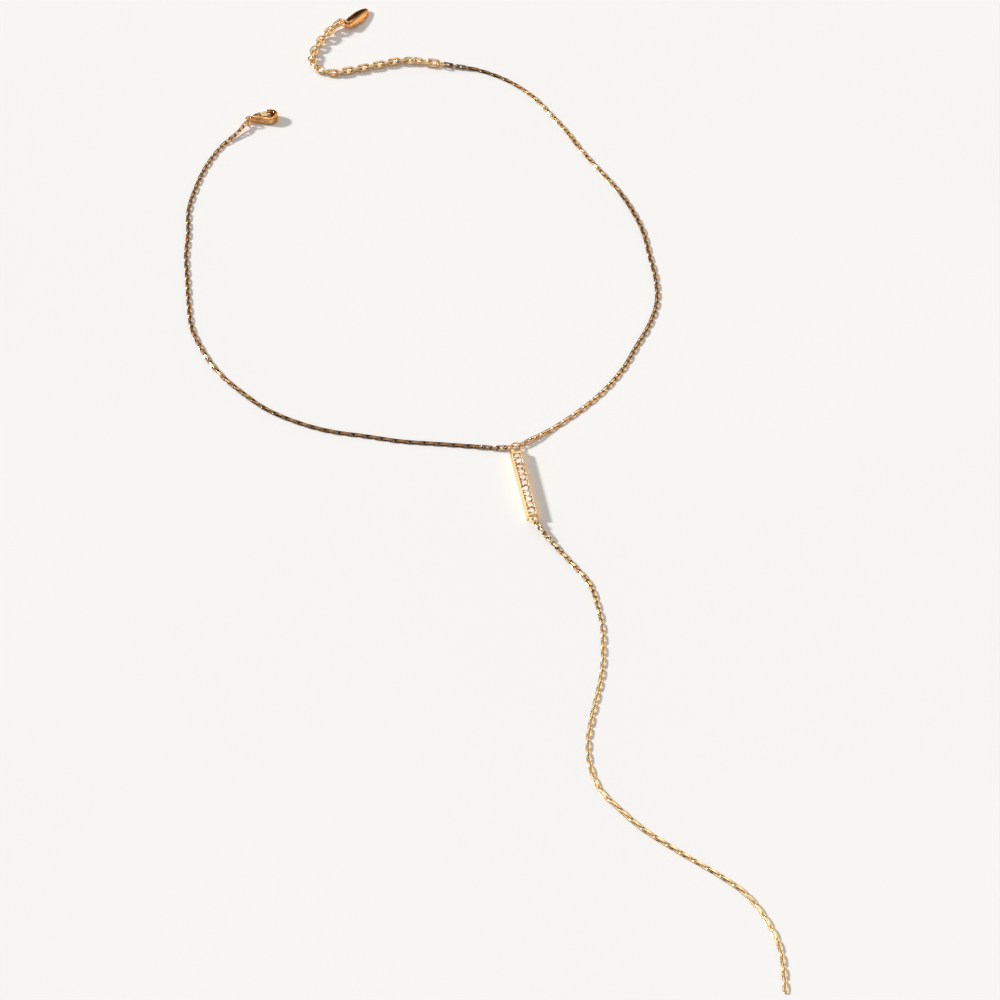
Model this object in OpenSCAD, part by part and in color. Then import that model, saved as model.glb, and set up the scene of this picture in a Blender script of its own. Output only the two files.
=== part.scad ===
// Y necklace, lying flat and unclasped as on a table.
// Two strands of fine cable chain meet at a bar set with a row of stones, and a
// third strand, the drop, hangs from the bar's lower end. A lobster clasp ends the
// left strand, and an extender with an oval tag ends the right one.
// Millimetres. The table is z = 0, +Y points away from the viewer, +X to the right.

/* [Fine chain] */
// Distance from one link to the next
link_pitch = 2.0; // [1.6:0.1:3]
// Width across a link
link_width = 1.4; // [1.4:0.1:2.2]
// Thickness of the wire of a link
link_wire = 0.4; // [0.25:0.05:0.4]
// Clear gap wherever two links or rings hook into each other
hook_gap = 0.1; // [0.1:0.02:0.2]
// How far a lying link leans from flat, in degrees
link_lean = 45; // [35:1:55]

/* [Extender] */
// Distance from one extender link to the next
extender_pitch = 2.44; // [2.2:0.02:3]
// Width across an extender link
extender_width = 2.7; // [2.3:0.1:3.2]
// Thickness of the wire of an extender link
extender_wire = 0.5; // [0.35:0.05:0.6]

/* [Jump rings] */
// Outer size of the ring that joins both strands to the bar
top_ring_size = 3.2; // [2.8:0.1:3.6]
// Wire of that ring
top_ring_wire = 0.45; // [0.35:0.05:0.5]
// How steeply that ring slopes down from the bar, in degrees
top_ring_slope = 7; // [5:1:20]
// How far that ring swings to the right of the bar's line, in degrees
top_ring_swing = 25; // [15:1:25]
// Outer size of the ring between the bar and the drop
drop_ring_size = 2.3; // [2.2:0.1:2.8]
// Wire of that ring
drop_ring_wire = 0.4; // [0.3:0.05:0.4]
// How far that ring swings to the right of the bar's line, in degrees
drop_ring_swing = 20; // [10:1:30]
// Outer size of the ring between the left strand and the clasp
clasp_ring_size = 2.75; // [2.6:0.05:3.2]
// Wire of that ring
clasp_ring_wire = 0.45; // [0.35:0.05:0.5]
// Outer size of the ring between the right strand and the extender
extender_ring_size = 3.4; // [3:0.1:4]
// Wire of that ring
extender_ring_wire = 0.5; // [0.4:0.05:0.6]
// How far that ring is propped up from lying flat, in degrees
extender_ring_tilt = 30; // [20:1:40]
// Outer size of the ring that holds the tag
tag_ring_size = 3.1; // [3:0.05:3.4]
// Wire of that ring
tag_ring_wire = 0.45; // [0.35:0.05:0.5]

/* [Bar] */
// Width of the flat back
bar_width = 3.4; // [3:0.1:4.2]
// Width of the flat front between the bevels
bar_front = 2.6; // [2.5:0.1:2.9]
// Height from the flat back to the front
bar_height = 2.2; // [2.1:0.1:2.8]
// Height of the bevel along both long sides
bevel_height = 1.2; // [0.4:0.1:1.6]
// Distance from the bar's top end to the row of stones
row_margin = 1.7; // [1.2:0.1:2]
// Distance from the row of stones to the bar's lower end
end_margin = 0.4; // [0.3:0.1:1.2]
// Diameter of the hole in the eye at the top end
eye_hole = 1.1; // [1.05:0.05:1.2]
// Width of metal round that hole
eye_rim = 0.4; // [0.3:0.05:0.45]
// Thickness of the eye
eye_thickness = 0.6; // [0.4:0.05:0.7]
// Diameter of the hole in the tab at the lower end
tab_hole = 1.0; // [0.9:0.05:1.1]
// Width of metal round that hole
tab_rim = 0.6; // [0.35:0.05:0.65]
// Thickness of the tab
tab_thickness = 0.7; // [0.4:0.05:0.75]

/* [Stones] */
// Number of stones in the row
stone_count = 11; // [5:1:11]
// Distance from one stone to the next
stone_pitch = 2.08; // [1.98:0.02:2.1]
// Diameter of a stone at its girdle
stone_size = 1.84; // [1.7:0.02:1.86]
// Diameter of the table of a stone
table_size = 1.0; // [0.8:0.05:1.2]
// Height from the girdle to the table
crown_height = 0.3; // [0.2:0.02:0.34]
// Height of the girdle's upright edge
girdle_height = 0.06; // [0.04:0.01:0.1]
// Depth from the girdle to the point
pavilion_depth = 0.8; // [0.7:0.02:0.9]
// Clear gap between a stone and its setting
stone_gap = 0.1; // [0.1:0.01:0.14]
// How far the tables stand above the bar's front
table_rise = 0.05; // [0:0.01:0.1]
// Diameter of the bead prongs
prong_size = 0.44; // [0.3:0.02:0.48]
// Diameter of the dark drilled notches between pairs of stones
notch_size = 0.56; // [0.4:0.02:0.6]

/* [Clasp] */
// Thickness of the clasp through its middle
clasp_thickness = 2.4; // [2.2:0.1:2.8]
// How much thinner the clasp is at its sides, on each face
clasp_crown = 0.3; // [0.1:0.05:0.35]
// Distance from the eye to the centre of the round head
head_distance = 6.2; // [6:0.1:7]
// Radius of the round head
head_radius = 2.5; // [2.4:0.1:2.8]
// Radius of the open space in the head
hollow_radius = 1.4; // [1.3:0.05:1.5]
// Radius of the neck behind the lever
neck_radius = 0.9; // [0.8:0.05:1.1]
// Distance from the eye to the neck
neck_distance = 2.0; // [1.9:0.05:2.2]
// Diameter of the hole in the clasp's eye
clasp_eye_hole = 1.2; // [1.1:0.05:1.3]
// Width of metal round that hole
clasp_eye_rim = 0.55; // [0.4:0.05:0.6]
// Thickness of the clasp's eye
clasp_eye_thickness = 1.0; // [0.8:0.05:1.1]
// Thickness of the lever
lever_thickness = 1.2; // [0.9:0.05:1.3]
// Clear gap between the lever and the clasp's body
lever_gap = 0.15; // [0.1:0.01:0.16]
// Diameter of the lever's pin
pin_size = 0.6; // [0.5:0.05:0.7]
// Running clearance of the pin in the lever, all round
pin_gap = 0.06; // [0.03:0.01:0.08]
// Radius of the lever round its pin
boss_radius = 0.65; // [0.55:0.05:0.7]
// Length of the lever from its pin to the mouth's edge
lever_reach = 2.7; // [2.5:0.05:2.8]
// Height of the lever's tongue under the hook
tongue_height = 0.7; // [0.5:0.05:0.75]

/* [Tag] */
// Length of the oval tag
tag_length = 11.5; // [10:0.5:14]
// Width of the oval tag
tag_width = 4.5; // [4:0.1:5.2]
// Thickness of the tag through its middle
tag_thickness = 1.0; // [0.8:0.05:1.1]
// How much thinner the tag is at its long sides
tag_crown = 0.4; // [0.1:0.05:0.45]
// Diameter of the tag's hole
tag_hole = 1.2; // [1.1:0.05:1.3]
// Width of metal between that hole and the tag's end
tag_rim = 0.65; // [0.5:0.05:0.7]

/* [Hidden] */

// Places and turns on the table, chosen by hand from the photo
bar_place = [18.3, -19.5];
bar_turn = -79.6;
clasp_place = [-63.7, 132.5];
clasp_turn = 11;
clasp_ring_turn = 246;
extender_ring_place = [-6.2, 159];
extender_ring_turn = 170;
tag_ring_turn = -28;
tag_turn = 56.7;

// Routes of the strands: x, y and the lift above the height at which a chain lies.
// The ends at the rings are worked out below.
left_route = [
    [-67, 126.5, 0.2], [-71.5, 121, 0], [-75.5, 112, 0], [-78, 102.5, 0], [-79.5, 92.5, 0],
    [-79, 82.5, 0], [-79, 72.5, 0], [-78, 62.5, 0], [-77, 52.5, 0], [-75.5, 42.5, 0],
    [-72, 33.5, 0], [-67, 24.5, 0], [-60.5, 17, 0], [-53, 10, 0], [-44.5, 5, 0],
    [-35.5, 1.5, 0], [-25.5, -0.5, 0], [-15.5, -2.5, 0], [-5.5, -3.5, 0], [4, -4.5, 0],
    [11, -5.5, 0]
];
right_route = [
    [20, -2.5, 0], [26.5, 2.5, 0], [34, 9.5, 0], [40.5, 17, 0], [46, 25.5, 0],
    [50, 34.5, 0], [54, 43.5, 0], [56.5, 53, 0], [56.5, 63, 0], [55, 73, 0],
    [53.5, 83, 0], [50.5, 92.5, 0], [46.5, 101.5, 0], [41.5, 110, 0], [36.5, 118.5, 0],
    [32, 127.5, 0], [27, 136, 0], [21.5, 144.5, 0], [14.5, 151.5, 0], [6, 156.5, 0],
    [-1.5, 158, 0.2]
];
drop_route = [
    [22.5, -36, 0.4], [27, -42.5, 0], [31.5, -49, 0], [35.5, -55.5, 0], [37.5, -63.5, 0],
    [38.5, -71, 0], [38.5, -79, 0], [38, -86.5, 0], [36.5, -94.5, 0], [35, -102, 0],
    [34, -110, 0], [34.5, -117.5, 0], [37, -125, 0], [42, -131.5, 0], [47, -137, 0],
    [53, -142, 0], [59.5, -147, 0], [65.5, -151.5, 0], [71.5, -157, 0], [75.5, -163.5, 0],
    [78.5, -171, 0], [79.5, -178.5, 0], [79.5, -187, 0]
];
extender_route = [
    [-11, 159.5, 0], [-16, 160.5, 0], [-21, 160, 0], [-25.5, 158.5, 0], [-30.5, 157, 0],
    [-35.5, 155.5, 0], [-40, 154.5, 0], [-44.5, 157, 0], [-46, 161.5, 0], [-45, 166.5, 0],
    [-43, 171, 0.15], [-40, 175.5, 0.3], [-37, 179.5, 0.3]
];

// Fineness of the meshes
link_arc = 5;
link_sides = 5;
extender_arc = 7;
extender_sides = 6;
tube_sides = 8;
tube_rings = 40;
curve_steps = 8;
round_steps = 48;
wire_steps = 24;
oval_steps = 48;
girdle_steps = 16;
// Links that turn from upright to leaning, next to an upright ring
settle_links = 4;
// A short length, for finding a route's direction and for cutting cleanly
small = 0.1;
// The straight sides of an outline start this share inside its round ends
tuck = 0.995;

// Height of the middle of a lying chain
chain_rest = lying_height(link_width, link_wire);
extender_rest = lying_height(extender_width, extender_wire);

// Radii of the rings, to the middle of the wire
top_ring_radius = (top_ring_size - top_ring_wire) / 2;
drop_ring_radius = (drop_ring_size - drop_ring_wire) / 2;
clasp_ring_radius = (clasp_ring_size - clasp_ring_wire) / 2;
extender_ring_radius = (extender_ring_size - extender_ring_wire) / 2;
tag_ring_radius = (tag_ring_size - tag_ring_wire) / 2;

// The bar's own axis runs from its top end, where u is 0, to its lower end
bar_length = row_margin + stone_count * stone_pitch + end_margin;
eye_radius = eye_hole / 2 + eye_rim;
eye_u = -eye_radius;
eye_z = max(eye_radius, 2 * top_ring_radius * sin(top_ring_slope) + top_ring_wire / 2);
tab_radius = tab_hole / 2 + tab_rim;
tab_u = bar_length + tab_radius;
tab_z = drop_ring_size / 2;
tab_at = bar_point(tab_u, 0);
drop_ring_turn = bar_turn + drop_ring_swing;

// Stones and their setting
stone_radius = stone_size / 2;
first_stone = row_margin + stone_pitch / 2;
table_z = bar_height + table_rise;
girdle_z = table_z - crown_height;
culet_z = girdle_z - girdle_height - pavilion_depth;
channel_half = stone_radius + stone_gap;
channel_floor = girdle_z - girdle_height - 0.2;
bore_z = culet_z - stone_gap;
notch_z = bore_z;
prong_side = channel_half - prong_size / 2 + small / 2;
notch_side = channel_half - notch_size / 2 + small / 2;
// A bore is as wide as the stone at the channel's floor, and clear of it all round
floor_share = (channel_floor - culet_z) / pavilion_depth;
bore_radius = stone_radius * floor_share + 1.5 * stone_gap;

// The ring at the bar's top end
eye_at = bar_point(eye_u, 0);
top_ring_turn = bar_turn + 180 - top_ring_swing;
top_ring_flat = top_ring_radius * cos(top_ring_slope);
top_ring_at = beyond(eye_at, top_ring_turn, top_ring_flat);
top_ring_z = eye_z - top_ring_radius * sin(top_ring_slope);

// Where the strands begin and end, clear of the wire of their rings
tube_gap = top_ring_wire / 2 + 2 * hook_gap;
strand_low = [top_ring_z - chain_rest];
left_hook_turn = 205;
right_hook_turn = 28;
left_end = concat(beyond(top_ring_at, left_hook_turn, top_ring_radius + tube_gap), strand_low);
right_start = concat(beyond(top_ring_at, right_hook_turn, top_ring_radius + tube_gap), strand_low);
left_start = concat(
    beyond(clasp_place, clasp_ring_turn, 2 * clasp_ring_radius + tube_gap),
    [clasp_ring_size / 2 - chain_rest]
);
extender_ring_z = extender_ring_radius * sin(extender_ring_tilt) + extender_ring_wire / 2;
right_end = concat(
    beyond(extender_ring_place, extender_ring_turn, -extender_ring_radius - tube_gap),
    [extender_ring_z - chain_rest]
);

// A hooked link's joint lies inside its ring by half the ring's wire and half the gap
drop_start = concat(
    beyond(tab_at, drop_ring_turn, 2 * drop_ring_radius - drop_ring_wire / 2 - hook_gap / 2),
    [drop_ring_size / 2 - chain_rest]
);
extender_start = concat(
    beyond(
        extender_ring_place,
        extender_ring_turn,
        extender_ring_radius - extender_ring_wire / 2 - hook_gap / 2
    ),
    [extender_ring_z - extender_rest]
);

left_road = road(concat([left_start], left_route, [left_end]));
right_road = road(concat([right_start], right_route, [right_end]));
drop_road = road(concat([drop_start], drop_route));
extender_road = road(concat([extender_start], extender_route));
drop_links = floor(road_length(drop_road) / link_pitch);
extender_links = floor(road_length(extender_road) / extender_pitch);

// The extender's ring is propped up on the side that crosses the first link
extender_ring_side = extender_links % 2 == 0 ? 1 : -1;

// The tag hangs on its ring, and the ring on the extender's last link
extender_end = place_on(extender_road, extender_links * extender_pitch, extender_rest);
extender_way = heading(extender_road, extender_links * extender_pitch, extender_rest);
tag_hook = extender_end - extender_way * (tag_ring_wire + hook_gap) / 2;
tag_hole_at = beyond(tag_hook, tag_ring_turn, 2 * tag_ring_radius);
// The tag rests on its far end and slopes up until its hole is at the ring's middle
hole_from_far = tag_length - tag_rim - tag_hole / 2;
tag_slope = asin((tag_ring_size - tag_thickness) / 2 / hole_from_far);

// The clasp's own axis runs from its eye, where x is 0, to the tip of its head
clasp_middle = clasp_thickness / 2;
clasp_eye_radius = clasp_eye_hole / 2 + clasp_eye_rim;
crown_radius = round_over(head_radius, clasp_crown);
head_at = [head_distance, 0];
pivot_at = [neck_distance + 1, boss_radius - 0.1];
slot_thickness = lever_thickness + 2 * lever_gap;
mouth_reach = lever_reach + lever_gap;
tongue_radius = hollow_radius - lever_gap;
// The least height of the lever's underside above the clasp's axis
lever_floor = pivot_at.y - boss_radius + 0.1;

stone_names = [for (i = [1:stone_count]) str("stone_", i < 10 ? "0" : "", i)];

// Height of the middle of a chain whose links lean to both sides
function lying_height(width, wire) =
    (width - wire) / 2 * max(sin(link_lean), cos(link_lean)) + wire / 2;

// The point at a distance from another, in a direction in degrees
function beyond(point, turn, distance) =
    [point.x + distance * cos(turn), point.y + distance * sin(turn)];

// A point of the bar on the table: u along it from its top end, v across it
function bar_point(u, v) =
    beyond(beyond(bar_place, bar_turn, u - bar_length / 2), bar_turn + 90, v);

// Radius of the round-over that falls by a drop at half a width from the middle
function round_over(half_width, drop) =
    (half_width * half_width + drop * drop) / (2 * drop);

function unit(v) = v / norm(v);

// A smooth curve through a route: the point a share t of the way from point i on
function curve_point(p, i, t) =
    let (
        n = len(p) - 1,
        a = p[max(i - 1, 0)],
        b = p[i],
        c = p[min(i + 1, n)],
        d = p[min(i + 2, n)]
    )
    b + t / 2 * ((c - a) + t * ((2 * a - 5 * b + 4 * c - d) + t * (3 * (b - c) + d - a)));

// A road is a route as three tables, for x, y and lift, each by the distance along it
function road(route) =
    let (
        p = [
            for (i = [0:len(route) - 2], k = [0:curve_steps - 1])
                curve_point(route, i, k / curve_steps),
            route[len(route) - 1]
        ],
        s = [for (i = 0, d = 0; i < len(p); d = d + step_length(p, i), i = i + 1) d]
    )
    [for (axis = [0:2]) [for (i = [0:len(p) - 1]) [s[i], p[i][axis]]]];

function step_length(p, i) =
    i + 1 < len(p) ? norm([p[i + 1].x - p[i].x, p[i + 1].y - p[i].y]) : 0;

function road_length(r) = r[0][len(r[0]) - 1][0];

function place_on(r, s, rest) =
    [lookup(s, r[0]), lookup(s, r[1]), rest + max(0, lookup(s, r[2]))];

function heading(r, s, rest) =
    let (end = road_length(r))
    unit(place_on(r, min(s + small, end), rest) - place_on(r, max(s - small, 0), rest));

// One closed link as points: its middle, its direction, its lean and its size
function link_points(middle, way, lean, length, width, wire, arc, sides) =
    let (
        side = unit(cross([0, 0, 1], way)),
        up = cross(way, side),
        across = side * cos(lean) + up * sin(lean),
        normal = cross(way, across),
        half = (length - width) / 2,
        bend = (width - wire) / 2
    )
    [
        for (end = [1, -1], k = [0:arc - 1], j = [0:sides - 1])
            let (
                phi = (end > 0 ? -90 : 90) + 180 * k / (arc - 1),
                out = way * cos(phi) + across * sin(phi),
                turn = 360 * j / sides
            )
            middle + way * half * end + out * (bend + wire / 2 * cos(turn))
                + normal * wire / 2 * sin(turn)
    ];

// The faces of closed links that follow each other in one list of points
function link_faces(count, arc, sides) = [
    for (i = [0:count - 1], k = [0:2 * arc - 1], j = [0:sides - 1])
        let (
            first = i * 2 * arc * sides,
            here = first + k * sides,
            next = first + (k + 1) % (2 * arc) * sides,
            beside = (j + 1) % sides
        )
        [here + j, here + beside, next + beside, next + j]
];

// How far a link leans, counted from the end that hooks into an upright ring: each
// is a quarter turn from the one before it, and they settle to the lying lean
function lean_of(from_ring) =
    link_lean * min(from_ring / settle_links, 1) + 90 * (from_ring % 2);

// A strand of real links, each between two joints a pitch apart along the road.
// The upright ring is at the strand's first link, or else at its last one.
module linked_chain(r, count, pitch, width, wire, rest, arc, sides, ring_first) {
    points = [
        for (i = [0:count - 1])
            let (
                a = place_on(r, i * pitch, rest),
                b = place_on(r, (i + 1) * pitch, rest),
                length = pitch + 2 * wire + hook_gap,
                lean = lean_of(ring_first ? i : count - 1 - i)
            )
            each link_points(
                (a + b) / 2, unit(b - a), lean, length, width, wire, arc, sides
            )
    ];
    polyhedron(points, link_faces(count, arc, sides));
}

// A strand's plain form, a tube as thick as the lying chain
module chain_tube(r) {
    last = tube_rings - 1;
    radius = chain_rest;
    points = [
        for (k = [0:last], j = [0:tube_sides - 1])
            let (
                s = road_length(r) * k / last,
                way = heading(r, s, chain_rest),
                side = unit(cross([0, 0, 1], way)),
                up = cross(way, side),
                turn = 360 * j / tube_sides
            )
            place_on(r, s, chain_rest) + radius * (side * cos(turn) + up * sin(turn))
    ];
    faces = concat(
        [[for (j = [0:tube_sides - 1]) j]],
        [
            for (k = [0:last - 1], j = [0:tube_sides - 1])
                let (here = k * tube_sides, beside = (j + 1) % tube_sides)
                [here + beside, here + j, here + tube_sides + j, here + tube_sides + beside]
        ],
        [[for (j = [tube_sides - 1:-1:0]) last * tube_sides + j]]
    );
    polyhedron(points, faces);
}

module chain_left() {
    color("goldenrod") chain_tube(left_road);
}

module chain_right() {
    color("goldenrod") chain_tube(right_road);
}

module chain_drop() {
    color("gold")
        linked_chain(
            drop_road, drop_links, link_pitch, link_width, link_wire, chain_rest,
            link_arc, link_sides, true
        );
}

module extender_chain() {
    color("khaki")
        linked_chain(
            extender_road, extender_links, extender_pitch, extender_width, extender_wire,
            extender_rest, extender_arc, extender_sides, false
        );
}

module jump_ring(size, wire) {
    rotate_extrude($fn = round_steps)
        translate([(size - wire) / 2, 0])
            circle(d = wire, $fn = wire_steps);
}

// A ring upright on the table, from a point on its wire in a direction
module standing_ring(from, turn, size, wire) {
    middle = beyond(from, turn, (size - wire) / 2);
    translate([middle.x, middle.y, size / 2])
        rotate([90, 0, turn])
            jump_ring(size, wire);
}

module top_ring() {
    color("darkgoldenrod")
        translate([top_ring_at.x, top_ring_at.y, top_ring_z])
            rotate([0, 0, top_ring_turn])
                rotate([0, top_ring_slope, 0])
                    jump_ring(top_ring_size, top_ring_wire);
}

module drop_ring() {
    color("darkgoldenrod")
        standing_ring(tab_at, drop_ring_turn, drop_ring_size, drop_ring_wire);
}

module clasp_ring() {
    color("darkgoldenrod")
        standing_ring(clasp_place, clasp_ring_turn, clasp_ring_size, clasp_ring_wire);
}

module extender_ring() {
    color("darkgoldenrod")
        translate([extender_ring_place.x, extender_ring_place.y, extender_ring_z])
            rotate([0, 0, extender_ring_turn])
                rotate([extender_ring_side * extender_ring_tilt, 0, 0])
                    jump_ring(extender_ring_size, extender_ring_wire);
}

module tag_ring() {
    color("darkgoldenrod")
        standing_ring(tag_hook, tag_ring_turn, tag_ring_size, tag_ring_wire);
}

// Moves what is drawn along the bar's own axis to the bar's place
module on_bar() {
    start = bar_point(0, 0);
    translate([start.x, start.y, 0]) rotate([0, 0, bar_turn]) children();
}

// The bar's cross-section, with its back at the bottom
module bar_section() {
    shoulder = bar_height - bevel_height;
    polygon([
        [-bar_width / 2, 0], [bar_width / 2, 0], [bar_width / 2, shoulder],
        [bar_front / 2, bar_height], [-bar_front / 2, bar_height], [-bar_width / 2, shoulder]
    ]);
}

module bar_eye() {
    translate([eye_u, eye_thickness / 2, eye_z])
        rotate([90, 0, 0])
            linear_extrude(eye_thickness) {
                circle(r = eye_radius, $fn = round_steps);
                translate([0, -eye_radius / 2])
                    square([eye_radius + small, eye_radius]);
            }
}

module bar_tab() {
    translate([tab_u, 0, tab_z - tab_thickness / 2])
        linear_extrude(tab_thickness) {
            circle(r = tab_radius, $fn = round_steps);
            translate([-tab_radius - small, -tab_radius * 0.9])
                square([tab_radius + small, tab_radius * 1.8]);
        }
}

// What is cut out for the stones: one channel, a bore under each stone, and the
// dark notches in pairs beside every second gap
module stone_room() {
    channel_length = (stone_count - 1) * stone_pitch + 2 * channel_half;
    translate([first_stone - channel_half, -channel_half, channel_floor])
        cube([channel_length, 2 * channel_half, bar_height]);
    for (i = [0:stone_count - 1])
        translate([first_stone + i * stone_pitch, 0, bore_z])
            cylinder(r = bore_radius, h = bar_height, $fn = round_steps);
    for (i = [2:2:stone_count - 1], side = [-1, 1])
        translate([row_margin + i * stone_pitch, side * notch_side, notch_z])
            cylinder(d = notch_size, h = bar_height, $fn = wire_steps);
}

// The bead prongs, in pairs beside every other gap
module prongs() {
    shaft = girdle_z - channel_floor + small;
    tip = table_z - girdle_z - small;
    for (i = [1:2:stone_count - 1], side = [-1, 1])
        translate([row_margin + i * stone_pitch, side * prong_side, channel_floor - small]) {
            cylinder(d = prong_size, h = shaft + small, $fn = wire_steps);
            translate([0, 0, shaft + small])
                cylinder(d1 = prong_size, d2 = prong_size / 2, h = tip, $fn = wire_steps);
        }
}

module bar_setting() {
    color("gold")
        on_bar() {
            difference() {
                union() {
                    rotate([90, 0, 90]) linear_extrude(bar_length) bar_section();
                    bar_eye();
                    bar_tab();
                }
                stone_room();
                translate([eye_u, eye_thickness, eye_z])
                    rotate([90, 0, 0])
                        cylinder(d = eye_hole, h = 2 * eye_thickness, $fn = round_steps);
                translate([tab_u, 0, tab_z - tab_thickness])
                    cylinder(d = tab_hole, h = 2 * tab_thickness, $fn = round_steps);
            }
            prongs();
        }
}

// A round brilliant: an eight-sided table, a crown, an upright girdle and a pavilion
module brilliant() {
    n = girdle_steps;
    half = n / 2;
    table = [
        for (k = [0:half - 1])
            let (turn = 360 * k / half)
            [table_size / 2 * cos(turn), table_size / 2 * sin(turn), table_z]
    ];
    edge = [
        for (z = [girdle_z, girdle_z - girdle_height], k = [0:n - 1])
            let (turn = 360 * k / n)
            [stone_radius * cos(turn), stone_radius * sin(turn), z]
    ];
    upper = half;
    lower = half + n;
    culet = half + 2 * n;
    faces = concat(
        [[for (k = [half - 1:-1:0]) k]],
        [for (k = [0:half - 1]) [k, (k + 1) % half, upper + 2 * k + 1]],
        [for (k = [0:half - 1]) [k, upper + 2 * k + 1, upper + 2 * k]],
        [
            for (k = [0:half - 1])
                [(k + 1) % half, upper + (2 * k + 2) % n, upper + 2 * k + 1]
        ],
        [
            for (k = [0:n - 1])
                [upper + k, upper + (k + 1) % n, lower + (k + 1) % n, lower + k]
        ],
        [for (k = [0:n - 1]) [lower + k, lower + (k + 1) % n, culet]]
    );
    polyhedron(concat(table, edge, [[0, 0, culet_z]]), faces);
}

module stone(i) {
    color("mistyrose")
        on_bar()
            translate([first_stone + i * stone_pitch, 0, 0])
                brilliant();
}

// The outline round two circles on one axis, the second one larger
module teardrop(x1, r1, x2, r2) {
    lean = acos((r1 - r2) / (x2 - x1));
    near = [x1 + r1 * tuck * cos(lean), r1 * tuck * sin(lean)];
    far = [x2 + r2 * tuck * cos(lean), r2 * tuck * sin(lean)];
    translate([x1, 0]) circle(r = r1, $fn = round_steps);
    translate([x2, 0]) circle(r = r2, $fn = round_steps);
    polygon([[near.x, -near.y], [far.x, -far.y], far, near]);
}

module clasp_outline() {
    teardrop(neck_distance, neck_radius, head_distance, head_radius);
}

module clasp_hollow() {
    teardrop(head_distance - hollow_radius - small, 0.9, head_distance, hollow_radius);
}

// The mouth reaches as far as the lever does, on an arc round the lever's pin
module clasp_mouth() {
    intersection() {
        translate(pivot_at) circle(r = mouth_reach, $fn = round_steps);
        translate([pivot_at.x + boss_radius, 0]) square([head_distance, head_radius * 2]);
    }
}

// Room for the lever between the cheeks, also when it is pressed in
module lever_room() {
    translate(pivot_at) circle(r = boss_radius + lever_gap, $fn = round_steps);
    polygon([
        pivot_at,
        [pivot_at.x, pivot_at.y - boss_radius - lever_gap],
        [head_distance, pivot_at.y - head_distance * 0.45],
        [head_distance, 0],
        [pivot_at.x + mouth_reach * 0.6, head_radius * 2],
        [pivot_at.x - boss_radius * 0.4, head_radius * 2],
        [pivot_at.x - boss_radius * 0.4, pivot_at.y]
    ]);
}

// Rounds both faces of the clasp over, across its length
module clasp_faces() {
    length = head_distance + 2 * head_radius;
    intersection_for (z = [crown_radius, clasp_thickness - crown_radius])
        translate([-head_radius, 0, z])
            rotate([0, 90, 0])
                cylinder(r = crown_radius, h = length, $fn = 240);
}

module on_clasp() {
    translate([clasp_place.x, clasp_place.y, 0])
        rotate([0, 0, clasp_turn])
            children();
}

module clasp_body() {
    color("goldenrod")
        on_clasp() {
            difference() {
                intersection() {
                    translate([0, 0, -small])
                        linear_extrude(clasp_thickness + 2 * small)
                            difference() {
                                clasp_outline();
                                clasp_hollow();
                                clasp_mouth();
                            }
                    clasp_faces();
                }
                translate([0, 0, clasp_middle - slot_thickness / 2])
                    linear_extrude(slot_thickness)
                        intersection() {
                            lever_room();
                            translate([0, -head_radius])
                                square([pivot_at.x + mouth_reach * 0.8, 3 * head_radius]);
                        }
                translate([pivot_at.x, pivot_at.y, -small])
                    cylinder(d = pin_size, h = clasp_thickness * 2, $fn = wire_steps);
            }
            translate([0, 0, clasp_middle - clasp_eye_thickness / 2])
                linear_extrude(clasp_eye_thickness)
                    difference() {
                        union() {
                            circle(r = clasp_eye_radius, $fn = round_steps);
                            translate([0, -neck_radius * 0.8])
                                square([neck_distance - neck_radius * 0.3, neck_radius * 1.6]);
                        }
                        circle(d = clasp_eye_hole, $fn = round_steps);
                    }
        }
}

// The pin ends just under the rounded faces
module clasp_pin() {
    length = clasp_thickness - clasp_crown;
    color("darkgoldenrod")
        on_clasp()
            translate([pivot_at.x, pivot_at.y, clasp_middle - length / 2])
                cylinder(d = pin_size, h = length, $fn = wire_steps);
}

// The lever's outline: a boss, an arm flush with the clasp's side, and a tongue
// that rests under the hook's tip
module lever_outline() {
    translate(pivot_at) circle(r = boss_radius, $fn = round_steps);
    intersection() {
        clasp_outline();
        translate(pivot_at) circle(r = lever_reach, $fn = round_steps);
        translate([pivot_at.x, lever_floor])
            square([head_distance, head_radius * 2]);
    }
    intersection() {
        translate(head_at) circle(r = tongue_radius, $fn = round_steps);
        translate([pivot_at.x, tongue_radius - tongue_height])
            square([head_distance - pivot_at.x + hollow_radius * 0.3, tongue_height]);
    }
}

module clasp_lever() {
    color("khaki")
        on_clasp()
            translate([0, 0, clasp_middle - lever_thickness / 2])
                linear_extrude(lever_thickness)
                    difference() {
                        lever_outline();
                        translate(pivot_at)
                            circle(d = pin_size + 2 * pin_gap, $fn = wire_steps);
                    }
}

// The tag rests on its far end, and its near end is raised by the ring
module tag() {
    crown = round_over(tag_width / 2, tag_crown);
    oval = [
        for (k = [0:oval_steps - 1])
            let (turn = 360 * k / oval_steps)
            [tag_length / 2 * (1 + cos(turn)), tag_width / 2 * sin(turn)]
    ];
    color("goldenrod")
        translate([tag_hole_at.x, tag_hole_at.y, 0])
            rotate([0, 0, tag_turn])
                translate([hole_from_far * cos(tag_slope), 0, 0])
                    rotate([0, tag_slope, 0])
                        translate([-tag_length, 0, 0])
                            difference() {
                                intersection() {
                                    linear_extrude(tag_thickness * 2) polygon(oval);
                                    translate([-small, 0, tag_thickness - crown])
                                        rotate([0, 90, 0])
                                            cylinder(r = crown, h = tag_length * 2, $fn = 240);
                                }
                                translate([tag_length - hole_from_far, 0, -small])
                                    cylinder(d = tag_hole, h = tag_thickness * 2, $fn = wire_steps);
                            }
}

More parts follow.
